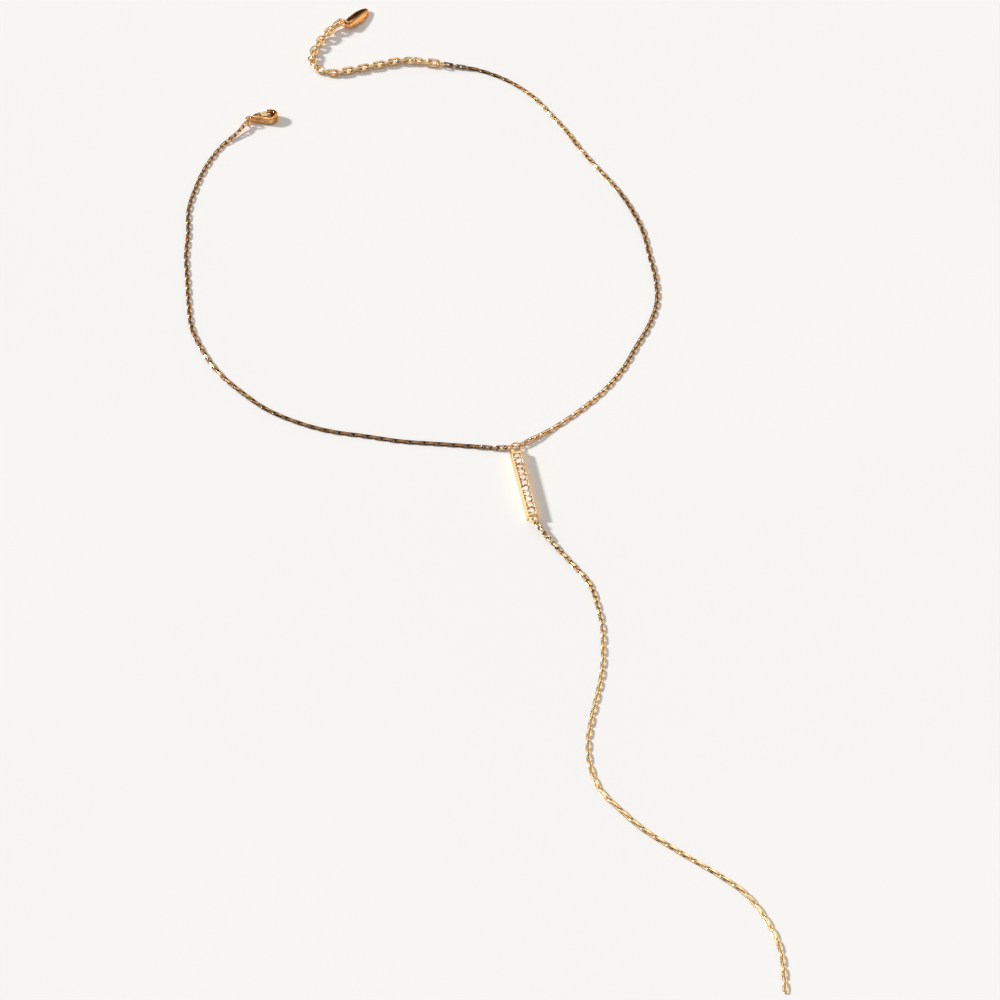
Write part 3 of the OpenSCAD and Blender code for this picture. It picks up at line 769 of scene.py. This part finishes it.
class LinkTree(GeometryTree):
    """The node tree that sets a closed link between every two joints of a strand."""

    PATH_STEPS = 12
    WIRE_SIDES = 6
    CREASE = math.radians(66)
    STRAIGHT = 0.3
    SHADE_STEP = 0.7
    TONE_PLAY = 0.3
    NAME = "links between joints"
    SIZES = {
        "Pitch": "Float", "Link length": "Float", "Link width": "Float", "Wire": "Float",
        "Pressed half": "Float", "Pressed share": "Float", "Play": "Float", "Seed": "Int",
        "Finish": "Material",
    }

    def drawn(self) -> NodeSocket:
        """Sets the links, keeps their tones with their painted shade, and presses them.

        Returns:
            The real, pressed links.
        """
        board = self.board
        points, way, lean, press, spread, toning, number = self._middles()
        held = board.node("GeometryNodeCaptureAttribute", {"Geometry": points}, domain="POINT")
        for name, value in (("Middle", self._position()), ("Side", self._side(way))):
            held.capture_items.new("VECTOR", name)
            board.feed(held.inputs[name], value)
        rotation = self._rotation(way, lean, number)
        links = self.placed(held.outputs["Geometry"], self._link(), rotation)
        # Every second link is a step darker, which is painted shade of the links that lie the
        # other way; the random share is each link's own tone.
        chance = self._random(0.0, self.TONE_PLAY, number, 7)
        second = board.math("MODULO", number, 2.0)
        tone = board.math("MULTIPLY_ADD", second, self.SHADE_STEP, chance)
        links = self._kept(links, "INSTANCE", "tone", tone)
        # Each link's share of painted shade along the strand, read by the plating.
        links = self._kept(links, "INSTANCE", "toning", toning)
        return self._pressed(self.real(links), held.outputs, press, spread)

    def _kept(self, geometry: Any, domain: str, name: str, value: Any) -> NodeSocket:
        """Stores a number on the geometry by name."""
        inputs = {"Geometry": geometry, "Name": name, "Value": value}
        kind = "GeometryNodeStoreNamedAttribute"
        return self.board.first(kind, inputs, data_type="FLOAT", domain=domain)

    def _random(self, low: Any, high: Any, number: Any, shift: int) -> NodeSocket:
        """Draws one number for each link, always the same for the same seed."""
        seed = self.board.math("ADD", self.given["Seed"], shift)
        inputs = {"Min_001": low, "Max_001": high, "ID": number, "Seed": seed}
        return self.board.typed("FunctionNodeRandomValue", "Value_001", inputs, data_type="FLOAT")

    def _position(self) -> NodeSocket:
        """Reads a point's position."""
        return self.board.first("GeometryNodeInputPosition")

    def _side(self, way: Any) -> NodeSocket:
        """Finds the level direction square to a link's way."""
        across = self.board.vectors("CROSS_PRODUCT", tuple(UP), way)
        return self.board.vectors("NORMALIZE", across)

    def _pressed(self, links: Any, held: Any, press: Any, spread: Any) -> NodeSocket:
        """Presses the links flat between rolls, so that they widen and get level facets.

        Args:
            links: The real links.
            held: Outputs with each link's middle and side direction.
            press: Share of the pressing that each link gets.
            spread: How much wider each link gets by it.

        Returns:
            The pressed links, clear of the floor, with crisp edges along their facets.
        """
        board, given = self.board, self.given
        position = self._position()
        apart = board.vectors("SUBTRACT", position, held["Middle"])
        over = board.part(apart, "Z")
        half = given["Pressed half"]
        capped = board.math("MINIMUM", board.times(over, given["Pressed share"]), half)
        level = board.math("MAXIMUM", capped, board.times(half, -1.0))
        change = board.times(board.math("SUBTRACT", level, over), press)
        sunk = board.math("SUBTRACT", FLOOR_GAP, board.part(position, "Z"))
        aside = board.vectors("DOT_PRODUCT", apart, held["Side"])
        inputs = {0: held["Side"], "Scale": board.times(aside, spread)}
        widened = board.first("ShaderNodeVectorMath", inputs, operation="SCALE")
        upward = board.vector(Z=board.math("MAXIMUM", change, sunk))
        inputs = {"Geometry": links, "Offset": board.vectors("ADD", widened, upward)}
        moved = board.first("GeometryNodeSetPosition", inputs)
        inputs = {0: board.first("GeometryNodeInputMeshEdgeAngle"), 1: self.CREASE}
        soft = board.first(
            "FunctionNodeCompare", inputs, data_type="FLOAT", operation="LESS_THAN"
        )
        inputs = {"Geometry": moved, "Shade Smooth": soft}
        return board.first("GeometryNodeSetShadeSmooth", inputs, domain="EDGE")

    def _middles(self) -> tuple:
        """Finds each link's middle and what it keeps of its edge between two joints.

        Returns:
            The middles as points, then an output for each of the links' own numbers.
        """
        board = self.board
        ends = board.node("GeometryNodeInputMeshEdgeVertices").outputs
        across = board.vectors("SUBTRACT", ends["Position 2"], ends["Position 1"])
        number = board.first("GeometryNodeInputIndex")
        held = board.node("GeometryNodeCaptureAttribute", domain="EDGE")
        held.capture_items.new("VECTOR", "Way")
        for name in ("lean", "press", "spread", "toning"):
            held.capture_items.new("FLOAT", name)
            kept = board.node("GeometryNodeInputNamedAttribute", {"Name": name}, data_type="FLOAT")
            board.feed(held.inputs[name], kept.outputs["Attribute"])
        held.capture_items.new("INT", "Number")
        board.feed(held.inputs["Geometry"], self.given["Source"])
        board.feed(held.inputs["Way"], board.vectors("NORMALIZE", across))
        board.feed(held.inputs["Number"], number)
        inputs = {"Mesh": held.outputs["Geometry"]}
        points = board.first("GeometryNodeMeshToPoints", inputs, mode="EDGES")
        names = ("Way", "lean", "press", "spread", "toning", "Number")
        return points, *(held.outputs[name] for name in names)

    def _rotation(self, way: Any, lean: Any, number: Any) -> NodeSocket:
        """Turns each link along its way and rolls it by its lean and a little play.

        Args:
            way: Direction from joint to joint.
            lean: Roll about that direction.
            number: The link's number along the strand.

        Returns:
            The link's rotation.
        """
        board, given = self.board, self.given
        less = board.times(given["Play"], -1.0)
        lean = board.math("ADD", lean, self._random(less, given["Play"], number, 0))
        inputs = {"Primary Axis": way, "Secondary Axis": tuple(UP)}
        along = board.first(
            "FunctionNodeAxesToRotation", inputs, primary_axis="X", secondary_axis="Z"
        )
        inputs = {"Axis": (1.0, 0.0, 0.0), "Angle": lean}
        roll = board.first("FunctionNodeAxisAngleToRotation", inputs)
        inputs = {"Rotation": along, "Rotate By": roll}
        return board.first("FunctionNodeRotateRotation", inputs, rotation_space="LOCAL")

    def _round(self, sides: int, radius: Any) -> NodeSocket:
        """Draws a circle as a curve."""
        inputs = {"Resolution": sides, "Radius": radius}
        return self.board.first("GeometryNodeCurvePrimitiveCircle", inputs, mode="RADIUS")

    def _link(self) -> NodeSocket:
        """Bends one link: two half rounds with short straight sides between them.

        Returns:
            The link, with a number that is 0 at its middle and 1 at its joints.
        """
        board, given = self.board, self.given
        width, wire = given["Link width"], given["Wire"]
        bend = board.times(board.math("SUBTRACT", width, wire), 0.5)
        path = self._round(self.PATH_STEPS, bend)
        half = board.times(board.math("SUBTRACT", given["Link length"], width), 0.5)
        across = board.part(self._position(), "X")
        over = board.math("DIVIDE", across, board.times(bend, self.STRAIGHT))
        end = board.math("MINIMUM", board.math("MAXIMUM", over, -1.0), 1.0)
        inputs = {"Geometry": path, "Offset": board.vector(X=board.times(half, end))}
        bent = board.first("GeometryNodeSetPosition", inputs)
        section = self._round(self.WIRE_SIDES, board.times(wire, 0.5))
        inputs = {"Curve": bent, "Profile Curve": section}
        swept = board.first("GeometryNodeCurveToMesh", inputs)
        along = board.times(board.part(self._position(), "X"), math.tau)
        turns = board.math("DIVIDE", along, given["Pitch"])
        wave = board.math("MULTIPLY_ADD", board.math("COSINE", turns), -0.5, 0.5)
        return self._kept(swept, "POINT", "joint", wave)


@dataclass
class Strand:
    """A strand of closed links in millimetres and degrees."""

    node: str
    route: Route
    pitch: float
    width: float
    wire: float
    finish: Finish
    slot: Slot
    start: tuple[JumpRing, float]
    end: tuple[JumpRing, float] | None = None
    even: bool = False
    start_lean: float = 0.0
    end_lean: float = 45.0
    from_end: bool = False
    seed: int = 0
    gap: float = 0.1
    slack: float = 0.45
    lay: float = 45.0
    settle: float = 4.0
    play: float = 2.0
    pressed_half: float = 0.26
    pressed_share: float = 0.42
    pressed_wide: float = 0.38
    # Painted shade along the strand, as pairs of a share of its length and an amount: links are
    # darker where they reflect dark surroundings.
    toning: tuple[tuple[float, float], ...] = ((0.0, 0.0), (1.0, 0.0))

    def road(self) -> Road:
        """Draws the strand's road from its first joint to its last."""
        end = [self._hooked(*self.end)] if self.end else []
        return Road([self._hooked(*self.start), *self.route, *end])

    def _hooked(self, ring: JumpRing, turn: float) -> Point:
        """Returns the joint at a side of a ring as a point of a route."""
        joint = ring.hook(turn, self.gap)
        return joint.x, joint.y, joint.z - self._half_height(self.lay)

    def _half_height(self, lean: float) -> float:
        """Returns how high the middle of the higher of two crossed links lies."""
        angle = math.radians(lean)
        rise = max(abs(math.sin(angle)), abs(math.cos(angle)))
        return (self.width - self.wire) / 2 * rise + self.wire / 2

    def _lying(self, way: Vector) -> float:
        """Returns the lean of a link that lies freely, as the chain rolls in its bends."""
        side = UP.cross(way)
        return self.lay - math.degrees(math.atan2(FACING.dot(side), FACING.z))

    def leans(self, places: list[Vector]) -> list[float]:
        """Works out the lean of each link, without the quarter turn of every second one.

        Args:
            places: Joints of the strand.

        Returns:
            A lean in degrees for each link, which turns to its ring's near an end.
        """
        count = len(places) - 1
        ends = [(lambda i: i, self.start_lean)]
        if self.end or self.from_end:
            ends.append((lambda i: count - 1 - i, self.end_lean))
        leans = []
        for i in range(count):
            lean = self._lying((places[i + 1] - places[i]).normalized())
            for away, end_lean in ends:
                near = max(0.0, 1.0 - away(i) / self.settle)
                change = (end_lean - lean + 90.0) % 180.0 - 90.0
                lean += near * change
            leans.append(lean)
        return leans

    def _spreads(self, turned: list[float], presses: list[float]) -> np.ndarray:
        """Works out how much wider pressing makes each link: most where it stands upright."""
        lying = np.abs(np.cos(np.radians(turned)))
        halves = (self.width - self.wire) / 2 * lying + self.wire / 2
        return np.array(presses) * np.maximum(0.0, self.pressed_wide * self.width / halves - 1.0)

    def joints(self) -> list[Vector]:
        """Finds the joints between the links on their road.

        Returns:
            The joints, each with its lift as z.
        """
        road = self.road()
        count, step = int(road.length / self.pitch), self.pitch
        if self.even:
            count = 2 * round(road.length / self.pitch / 2)
            step = road.length / count
        return [Vector(road.place(i * step)) for i in range(count + 1)]

    def presses(self, count: int) -> list[float]:
        """Works out the pressing: none beside the rings, full beyond.

        Args:
            count: Number of links.

        Returns:
            A share for each link.
        """
        shares = []
        for i in range(count):
            away = min(i, count - 1 - i) if self.end or self.from_end else i
            shares.append(min(1.0, max(0.0, (away - 1) / self.settle)))
        return shares

    def _raised(
        self, places: list[Vector], leans: list[float], presses: list[float]
    ) -> list[Vector]:
        """Raises the joints so that no link sinks into the table, but keeps the hooked ends.

        Args:
            places: Joints of the strand.
            leans: Lean of each link.
            presses: Share of the pressing for each link.

        Returns:
            The raised joints.
        """
        heights = []
        for lean, press in zip(leans, presses):
            free = self._half_height(lean)
            heights.append(free + press * (self.pressed_half - free) + FLOOR_GAP)
        raised = []
        for i, place in enumerate(places):
            height = max(heights[max(0, i - 1):i + 1])
            hooked = i == 0 or (self.end and i == len(places) - 1)
            rest = self._half_height(self.lay) if hooked else height
            lift = place.z if hooked else max(0.0, place.z)
            raised.append(Vector((place.x, place.y, rest + lift)))
        return raised

    def build(self, tree: LinkTree, wardrobe: Wardrobe) -> None:
        """Hangs the links.

        Args:
            tree: The node tree that sets the links.
            wardrobe: Hands out the finish.
        """
        places = self.joints()
        count = len(places) - 1
        leans = self.leans(places)
        presses = self.presses(count)
        first = (count - 1) % 2 if self.from_end else 0
        turned = [lean + 90.0 * ((i + first) % 2) for i, lean in enumerate(leans)]
        mesh = bpy.data.meshes.new(self.node)
        joints = self._raised(places, leans, presses)
        mesh.from_pydata(joints, [(i, i + 1) for i in range(count)], [])
        kept = {
            "lean": np.radians(turned),
            "press": np.array(presses),
            "spread": self._spreads(turned, presses),
            "toning": np.interp((np.arange(count) + 0.5) / count, *zip(*self.toning)),
        }
        for name, numbers in kept.items():
            mesh.attributes.new(name, "FLOAT", "EDGE").data.foreach_set("value", numbers)
        values = {
            "Pitch": self.pitch, "Link width": self.width, "Wire": self.wire,
            "Link length": self.pitch + 2 * self.wire + self.gap + self.slack,
            "Pressed half": self.pressed_half, "Pressed share": self.pressed_share,
            "Play": math.radians(self.play), "Seed": self.seed,
            "Finish": wardrobe[self.finish],
        }
        piece = tree.grow(object_of("joints", mesh), self.node + "_links", values)
        place_piece(piece, Body.NECKLACE, self.slot, self.node)
        LOG.info("%s has %d links", piece.name, count)


class Chains:
    """The two neck strands, the drop and the extender."""

    FINE = {"pitch": 2.0, "width": 1.5, "wire": 0.49}
    LARGE = {
        "pitch": 2.44, "width": 2.7, "wire": 0.87, "pressed_half": 1.0, "pressed_share": 0.75,
        "pressed_wide": 0.0, "slack": 0.25, "lay": 8.0,
    }
    LEFT: Route = [
        (-67, 126.5, 0.2), (-71.5, 121, 0), (-75.5, 112, 0), (-78, 102.5, 0), (-79.5, 92.5, 0),
        (-79, 82.5, 0), (-79, 72.5, 0), (-78, 62.5, 0), (-77, 52.5, 0), (-75.5, 42.5, 0),
        (-72, 33.5, 0), (-67, 24.5, 0), (-60.5, 17, 0), (-53, 10, 0), (-44.5, 5, 0),
        (-35.5, 1.5, 0), (-25.5, -0.5, 0), (-15.5, -2.5, 0), (-5.5, -3.5, 0), (4, -4.5, 0),
        (11, -5.5, 0),
    ]
    RIGHT: Route = [
        (20, -2.5, 0), (26.5, 2.5, 0), (34, 9.5, 0), (40.5, 17, 0), (46, 25.5, 0),
        (50, 34.5, 0), (54, 43.5, 0), (56.5, 53, 0), (56.5, 63, 0), (55, 73, 0),
        (53.5, 83, 0), (50.5, 92.5, 0), (46.5, 101.5, 0), (41.5, 110, 0), (36.5, 118.5, 0),
        (32, 127.5, 0), (27, 136, 0), (21.5, 144.5, 0), (14.5, 151.5, 0), (6, 156.5, 0),
        (-1.5, 158, 0.2),
    ]
    DROP: Route = [
        (22.5, -36, 0.4), (27, -42.5, 0), (31.5, -49, 0), (35.5, -55.5, 0), (37.5, -63.5, 0),
        (38.5, -71, 0), (38.5, -79, 0), (38, -86.5, 0), (36.5, -94.5, 0), (35, -102, 0),
        (34, -110, 0), (34.5, -117.5, 0), (37, -125, 0), (42, -131.5, 0), (47, -137, 0),
        (53, -142, 0), (59.5, -147, 0), (65.5, -151.5, 0), (71.5, -157, 0), (75.5, -163.5, 0),
        (78.5, -171, 0), (79.5, -178.5, 0), (79.5, -187, 0),
    ]
    EXTENDER: Route = [
        (-11, 159.5, 0), (-16, 160.5, 0), (-21, 160, 0), (-25.5, 158.5, 0), (-30.5, 157, 0),
        (-35.5, 155.5, 0), (-40, 154.5, 0), (-44.5, 157, 0), (-46, 161.5, 0), (-45, 166.5, 0),
        (-43, 171, 0.15), (-40, 175.5, 0.3), (-37, 179.5, 0.3),
    ]
    CLASP_HOOK = 246.0
    LEFT_HOOK = 205.0
    RIGHT_HOOK = 28.0
    DROP_HOOK = -59.6
    EXTENDER_HOOK = 170.0

    def build(self, rings: dict[str, JumpRing], wardrobe: Wardrobe) -> None:
        """Hangs the four strands between their rings.

        Args:
            rings: The jump rings by node.
            wardrobe: Hands out the finishes.
        """
        tree = LinkTree()
        top, large = rings["top_ring"], rings["extender_ring"]
        strands = [
            Strand(
                "chain_left", self.LEFT, **self.FINE, finish=Finish.FINE_CHAIN,
                slot=Slot.FINE_CHAIN, start=(rings["clasp_ring"], self.CLASP_HOOK),
                end=(top, self.LEFT_HOOK), even=True, end_lean=0.0, seed=11,
                toning=((0.0, 0.36), (0.08, 0.72), (0.3, 0.76), (0.5, 0.66), (0.62, 0.74),
                        (0.72, 0.94), (0.95, 0.94), (1.0, 0.5)),
            ),
            Strand(
                "chain_right", self.RIGHT, **self.FINE, finish=Finish.FINE_CHAIN,
                slot=Slot.FINE_CHAIN, start=(top, self.RIGHT_HOOK),
                end=(large, self.EXTENDER_HOOK + 180), even=True,
                start_lean=90.0, seed=12,
                toning=((0.0, 0.1), (0.1, 0.24), (0.24, 0.7), (0.58, 0.73), (0.72, 0.42),
                        (0.86, 0.5), (0.93, 0.9), (1.0, 0.88)),
            ),
            Strand(
                "chain_drop", self.DROP, **self.FINE, finish=Finish.DROP_CHAIN_PAINTED_LIGHT,
                slot=Slot.FINE_CHAIN, start=(rings["drop_ring"], self.DROP_HOOK), seed=13,
                toning=((0.0, 0.62), (0.14, 0.58), (0.26, 0.2), (0.6, 0.06), (1.0, 0.06)),
            ),
            Strand(
                "extender_chain", self.EXTENDER, **self.LARGE, finish=Finish.EXTENDER,
                slot=Slot.EXTENDER, start=(large, self.EXTENDER_HOOK), start_lean=45.0,
                end_lean=0.0, from_end=True, seed=14, toning=((0.0, 0.12), (1.0, 0.1)),
            ),
        ]
        for strand in strands:
            strand.build(tree, wardrobe)


@dataclass
class CastPiece:
    """A cast and polished piece, made from its CAD solid with its edges rounded."""

    node: str
    body: Body
    slot: Slot
    finish: Finish
    rounding: float = 0.08
    voxel: float = 0.0
    smoothing: int = 6

    SEGMENTS: ClassVar[int] = 3
    POLISH: ClassVar[float] = 0.5
    MERGE: ClassVar[float] = 0.002
    FLAT: ClassVar[float] = math.radians(1.0)
    CORNER: ClassVar[float] = math.radians(32.0)

    def copy(self) -> Object:
        """Copies the CAD solid in millimetres, with merged corners and whole flat faces.

        Returns:
            The copy, as an object.
        """
        bm = bmesh.new()
        bm.from_mesh(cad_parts[self.node].data)
        bmesh.ops.scale(bm, vec=Vector((1, 1, 1)) / MM, verts=bm.verts)
        bmesh.ops.remove_doubles(bm, verts=bm.verts, dist=self.MERGE)
        bmesh.ops.dissolve_limit(
            bm, angle_limit=self.FLAT, verts=bm.verts, edges=bm.edges, delimit={"NORMAL"}
        )
        return object_of("casting", mesh_of(self.node, bm))

    def build(self, wardrobe: Wardrobe) -> None:
        """Rounds the edges and dresses the piece.

        Args:
            wardrobe: Hands out the finish.
        """
        source = self.copy()
        if self.voxel:
            self._remesh(source)
        else:
            self._bevel(source)
        piece = made_plain(source, self.node + "_cast")
        piece.data.materials.clear()
        piece.data.materials.append(wardrobe[self.finish])
        place_piece(piece, self.body, self.slot, self.node)

    def _bevel(self, source: Object) -> None:
        """Rounds the edges of a piece with flat faces.

        Args:
            source: The piece.
        """
        bevel = source.modifiers.new("rounded edges", "BEVEL")
        bevel.width = self.rounding
        bevel.segments = self.SEGMENTS
        bevel.limit_method = "ANGLE"
        bevel.angle_limit = self.CORNER
        bevel.use_clamp_overlap = False
        bevel.harden_normals = True
        for face in source.data.polygons:
            face.use_smooth = True

    def _remesh(self, source: Object) -> None:
        """Melts a rounded casting's edges by an even mesh and a few smoothing passes.

        Args:
            source: The piece.
        """
        remesh = source.modifiers.new("even mesh", "REMESH")
        remesh.mode = "VOXEL"
        remesh.voxel_size = self.voxel
        remesh.use_smooth_shade = True
        smooth = source.modifiers.new("polishing", "SMOOTH")
        smooth.factor = self.POLISH
        smooth.iterations = self.smoothing


class SeatTree(GeometryTree):
    """The node tree that sets a cut stone on each seat, turned and tilted at random."""

    NAME = "stones in their seats"
    SIZES = {"Stone": "Object", "Tilt": "Float", "Seed": "Int", "Finish": "Material"}

    def drawn(self) -> NodeSocket:
        """Sets the stones on their seats.

        Returns:
            The real stones.
        """
        board, given = self.board, self.given
        stone = board.node("GeometryNodeObjectInfo", {"Object": given["Stone"]})
        tilt = given["Tilt"]
        less = board.times(tilt, -1.0)
        inputs = {
            "Min": board.vector(X=less, Y=less),
            "Max": board.vector(X=tilt, Y=tilt, Z=math.tau),
            "Seed": given["Seed"],
        }
        kind = "FunctionNodeRandomValue"
        rotation = board.typed(kind, "Value", inputs, data_type="FLOAT_VECTOR")
        return self.real(self.placed(given["Source"], stone.outputs["Geometry"], rotation))


@dataclass
class Stones:
    """The row of cut stones, each a brilliant with table, crown, girdle and pavilion."""

    across: float = 2.34
    table: float = 0.56
    star: float = 0.78
    star_depth: float = 0.45
    girdle: float = 0.06
    crown: float = 0.34
    pavilion: float = 0.62
    tilt: float = 5.0
    seed: int = 5
    table_shade: float = 0.5

    SIDES: ClassVar[int] = 8

    def _brilliant(self) -> Object:
        """Cuts one stone about the middle of its table, with a number for each facet.

        Returns:
            The stone, as an object.
        """
        half, sides = self.across / 2, self.SIDES
        bm = bmesh.new()

        def ring(count: int, radius: float, height: float, shift: float) -> list:
            """Adds a level ring of corners."""
            turns = [math.tau * (k + shift) / count for k in range(count)]
            places = [(radius * math.cos(a), radius * math.sin(a), height) for a in turns]
            return [bm.verts.new(place) for place in places]

        table = ring(sides, half * self.table, 0.0, 0.5)
        stars = ring(sides, half * self.star, -self.crown * self.star_depth, 0.0)
        top = ring(2 * sides, half, -self.crown, 0.0)
        low = ring(2 * sides, half, -self.crown - self.girdle, 0.0)
        culet = bm.verts.new((0.0, 0.0, -self.crown - self.girdle - self.pavilion))
        bm.faces.new(table)
        for k in range(sides):
            before, girdle = (k - 1) % sides, 2 * k
            bm.faces.new((table[before], table[k], stars[k]))
            bm.faces.new((table[k], stars[k], top[girdle + 1], stars[(k + 1) % sides]))
            bm.faces.new((stars[k], top[girdle], top[girdle + 1]))
            bm.faces.new((stars[k], top[girdle], top[girdle - 1]))
        for k in range(2 * sides):
            beside = (k + 1) % (2 * sides)
            bm.faces.new((top[k], top[beside], low[beside], low[k]))
            bm.faces.new((low[k], low[beside], culet))
        mesh = mesh_of("brilliant", bm)
        shades = np.random.default_rng(self.seed).random(len(mesh.polygons))
        # The table facet stays clear of the painted shade.
        shades[0] = self.table_shade
        mesh.attributes.new("facet", "FLOAT", "FACE").data.foreach_set("value", shades)
        return object_of("brilliant", mesh)

    def build(self, wardrobe: Wardrobe) -> None:
        """Sets the stones.

        Args:
            wardrobe: Hands out the finish.
        """
        names = sorted(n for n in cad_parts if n.startswith("stone_"))
        seats = []
        for name in names:
            points = node_points(name)
            low, high = points.min(0), points.max(0)
            seats.append(((low[0] + high[0]) / 2, (low[1] + high[1]) / 2, high[2]))
        mesh = bpy.data.meshes.new("seats")
        mesh.from_pydata(seats, [], [])
        source = object_of("seats", mesh)
        stone = self._brilliant()
        values = {
            "Stone": stone, "Tilt": math.radians(self.tilt), "Seed": self.seed,
            "Finish": wardrobe[Finish.CRYSTAL],
        }
        piece = SeatTree().grow(source, "stones_cut", values)
        bpy.data.objects.remove(stone)
        place_piece(piece, Body.NECKLACE, Slot.STONES, *names)


def aimed(name: str, data: Any, way: Vector) -> Object:
    """Makes a camera or a light that looks along a direction.

    Args:
        name: Name of the object.
        data: Its camera or light.
        way: The direction.

    Returns:
        The object.
    """
    made = object_of(name, data)
    made.rotation_mode = "QUATERNION"
    made.rotation_quaternion = way.to_track_quat("-Z", "Y")
    return made


@dataclass
class Studio:
    """The plain floor, the camera at the photo's angle and the soft studio light."""

    eye: Point = (11.8, -665.75, 674.0)
    aim: Point = (11.8, -24.5, 0.0)
    lens: float = 124.1
    sensor: float = 36.0
    sun_way: Point = (4.1, -1.2, -2.2)
    sun_strength: float = 4.25
    sun_angle: float = 7.0
    sun_colour: Point = (1.0, 0.985, 0.96)
    sky: float = 0.55
    backdrop: Colour = rgba(0.9, 0.9, 0.89)
    glow: Colour = rgba(3.0, 2.1, 1.5)
    glow_end: float = 0.35
    room: Colour = rgba(0.03, 0.022, 0.016)
    floor_half: float = 2.0
    floor_drop: float = 0.01
    floor_cloud: float = 6.0
    floor_pale: Colour = rgba(0.8, 0.79, 0.785)
    floor_deep: Colour = rgba(0.785, 0.78, 0.78)

    FLOOR_CLOUD: ClassVar[tuple[float, float]] = (0.3, 0.7)
    WALLS: ClassVar[list[tuple[Point, float, float, Colour]]] = [
        ((0.15, -0.75, 0.64), 0.6, 0.98, rgba(0.8, 0.76, 0.72)),
        ((0.76, 0.55, 0.35), 0.62, 0.95, rgba(1.25, 1.12, 0.96)),
        ((0.0, 0.5, 0.866), 0.93, 0.958, rgba(1.55, 1.4, 1.18)),
    ]

    def camera(self) -> None:
        """Sets the camera at the photo's viewing angle."""
        eye, aim = (Vector(point) * MM for point in (self.eye, self.aim))
        made = aimed("camera", bpy.data.cameras.new("camera"), aim - eye)
        made.data.lens = self.lens
        made.data.sensor_width = self.sensor
        made.location = eye
        bpy.context.scene.camera = made

    def floor(self) -> None:
        """Lays the pale floor just under the necklace."""
        half, drop = self.floor_half, -self.floor_drop * MM
        square = ((-half, -half), (half, -half), (half, half), (-half, half))
        mesh = bpy.data.meshes.new("floor")
        mesh.from_pydata([(x, y, drop) for x, y in square], [], [(0, 1, 2, 3)])
        mesh.materials.append(self._floor_finish())
        object_of("floor", mesh)

    def _floor_finish(self) -> Material:
        """Builds the matt pale finish of the floor.

        Returns:
            The material.
        """
        made, board, shader = new_material("pale_floor")
        shader.inputs["Specular IOR Level"].default_value = 0.1
        shader.inputs["Roughness"].default_value = 0.9
        noise = board.noise(board.place(), self.floor_cloud, 2.0)
        cloud = board.ramp(noise, *self.FLOOR_CLOUD)
        colour = board.mix(cloud, self.floor_pale, self.floor_deep)
        board.feed(shader.inputs["Base Color"], colour)
        return made

    def light(self) -> None:
        """Sets the low sun-like key light and the soft room round it."""
        data = bpy.data.lights.new("key", "SUN")
        data.energy = self.sun_strength
        data.angle = math.radians(self.sun_angle)
        data.color = self.sun_colour
        aimed("key", data, Vector(self.sun_way))
        self._room()

    def _room(self) -> None:
        """Builds the room: even for the floor, with dark and bright walls in reflections."""
        world = bpy.data.worlds.new("studio")
        world.use_nodes = True
        bpy.context.scene.world = world
        board = Board(world.node_tree)
        world.node_tree.nodes.clear()
        way = board.node("ShaderNodeTexCoord").outputs["Generated"]
        room = self.room
        for towards, low, high, colour in self.WALLS:
            near = board.vectors("DOT_PRODUCT", way, tuple(Vector(towards).normalized()))
            room = board.mix(board.ramp(near, low, high), room, colour)
        ray = board.node("ShaderNodeLightPath").outputs
        even = rgba(self.sky, self.sky, self.sky * 0.99)
        after_floor = board.math("MINIMUM", ray["Diffuse Depth"], 1.0)
        rightward = board.ramp(board.part(way, "X"), 0.0, self.glow_end)
        glow = board.times(board.times(after_floor, ray["Is Glossy Ray"]), rightward)
        seen = board.mix(board.math("MAXIMUM", after_floor, ray["Is Diffuse Ray"]), room, even)
        shown = board.mix(ray["Is Camera Ray"], board.mix(glow, seen, self.glow), self.backdrop)
        background = board.first("ShaderNodeBackground", {"Color": shown, "Strength": 1.0})
        board.node("ShaderNodeOutputWorld", {"Surface": background})
        bpy.context.scene.view_settings.view_transform = "Standard"


def main() -> None:
    """Builds the necklace's pieces in order round the frame."""
    logging.basicConfig(level=logging.INFO, format="%(name)s: %(message)s")
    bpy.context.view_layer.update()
    studio = Studio()
    studio.camera()
    wardrobe = Wardrobe()
    seams = {
        "top_ring": 75.0, "drop_ring": 120.0, "clasp_ring": 66.0, "extender_ring": 260.0,
        "tag_ring": 152.0,
    }
    rings = {node: JumpRing.measured(node) for node in seams}
    for node, ring in rings.items():
        ring.build(seams[node], wardrobe)
    Chains().build(rings, wardrobe)
    castings = [
        CastPiece("bar_setting", Body.NECKLACE, Slot.BAR, Finish.BAR, rounding=0.06),
        CastPiece("tag", Body.NECKLACE, Slot.TAG, Finish.TAG, rounding=0.2),
        CastPiece(
            "clasp_body", Body.NECKLACE, Slot.CLASP, Finish.CLASP, voxel=0.08, smoothing=40
        ),
        CastPiece("clasp_pin", Body.NECKLACE, Slot.CLASP, Finish.CLASP),
        CastPiece(
            "clasp_lever", Body.LEVER, Slot.LEVER, Finish.LEVER, voxel=0.06, smoothing=12
        ),
    ]
    for casting in castings:
        casting.build(wardrobe)
    Stones().build(wardrobe)
    studio.floor()
    studio.light()


if __name__ == "__main__":
    main()
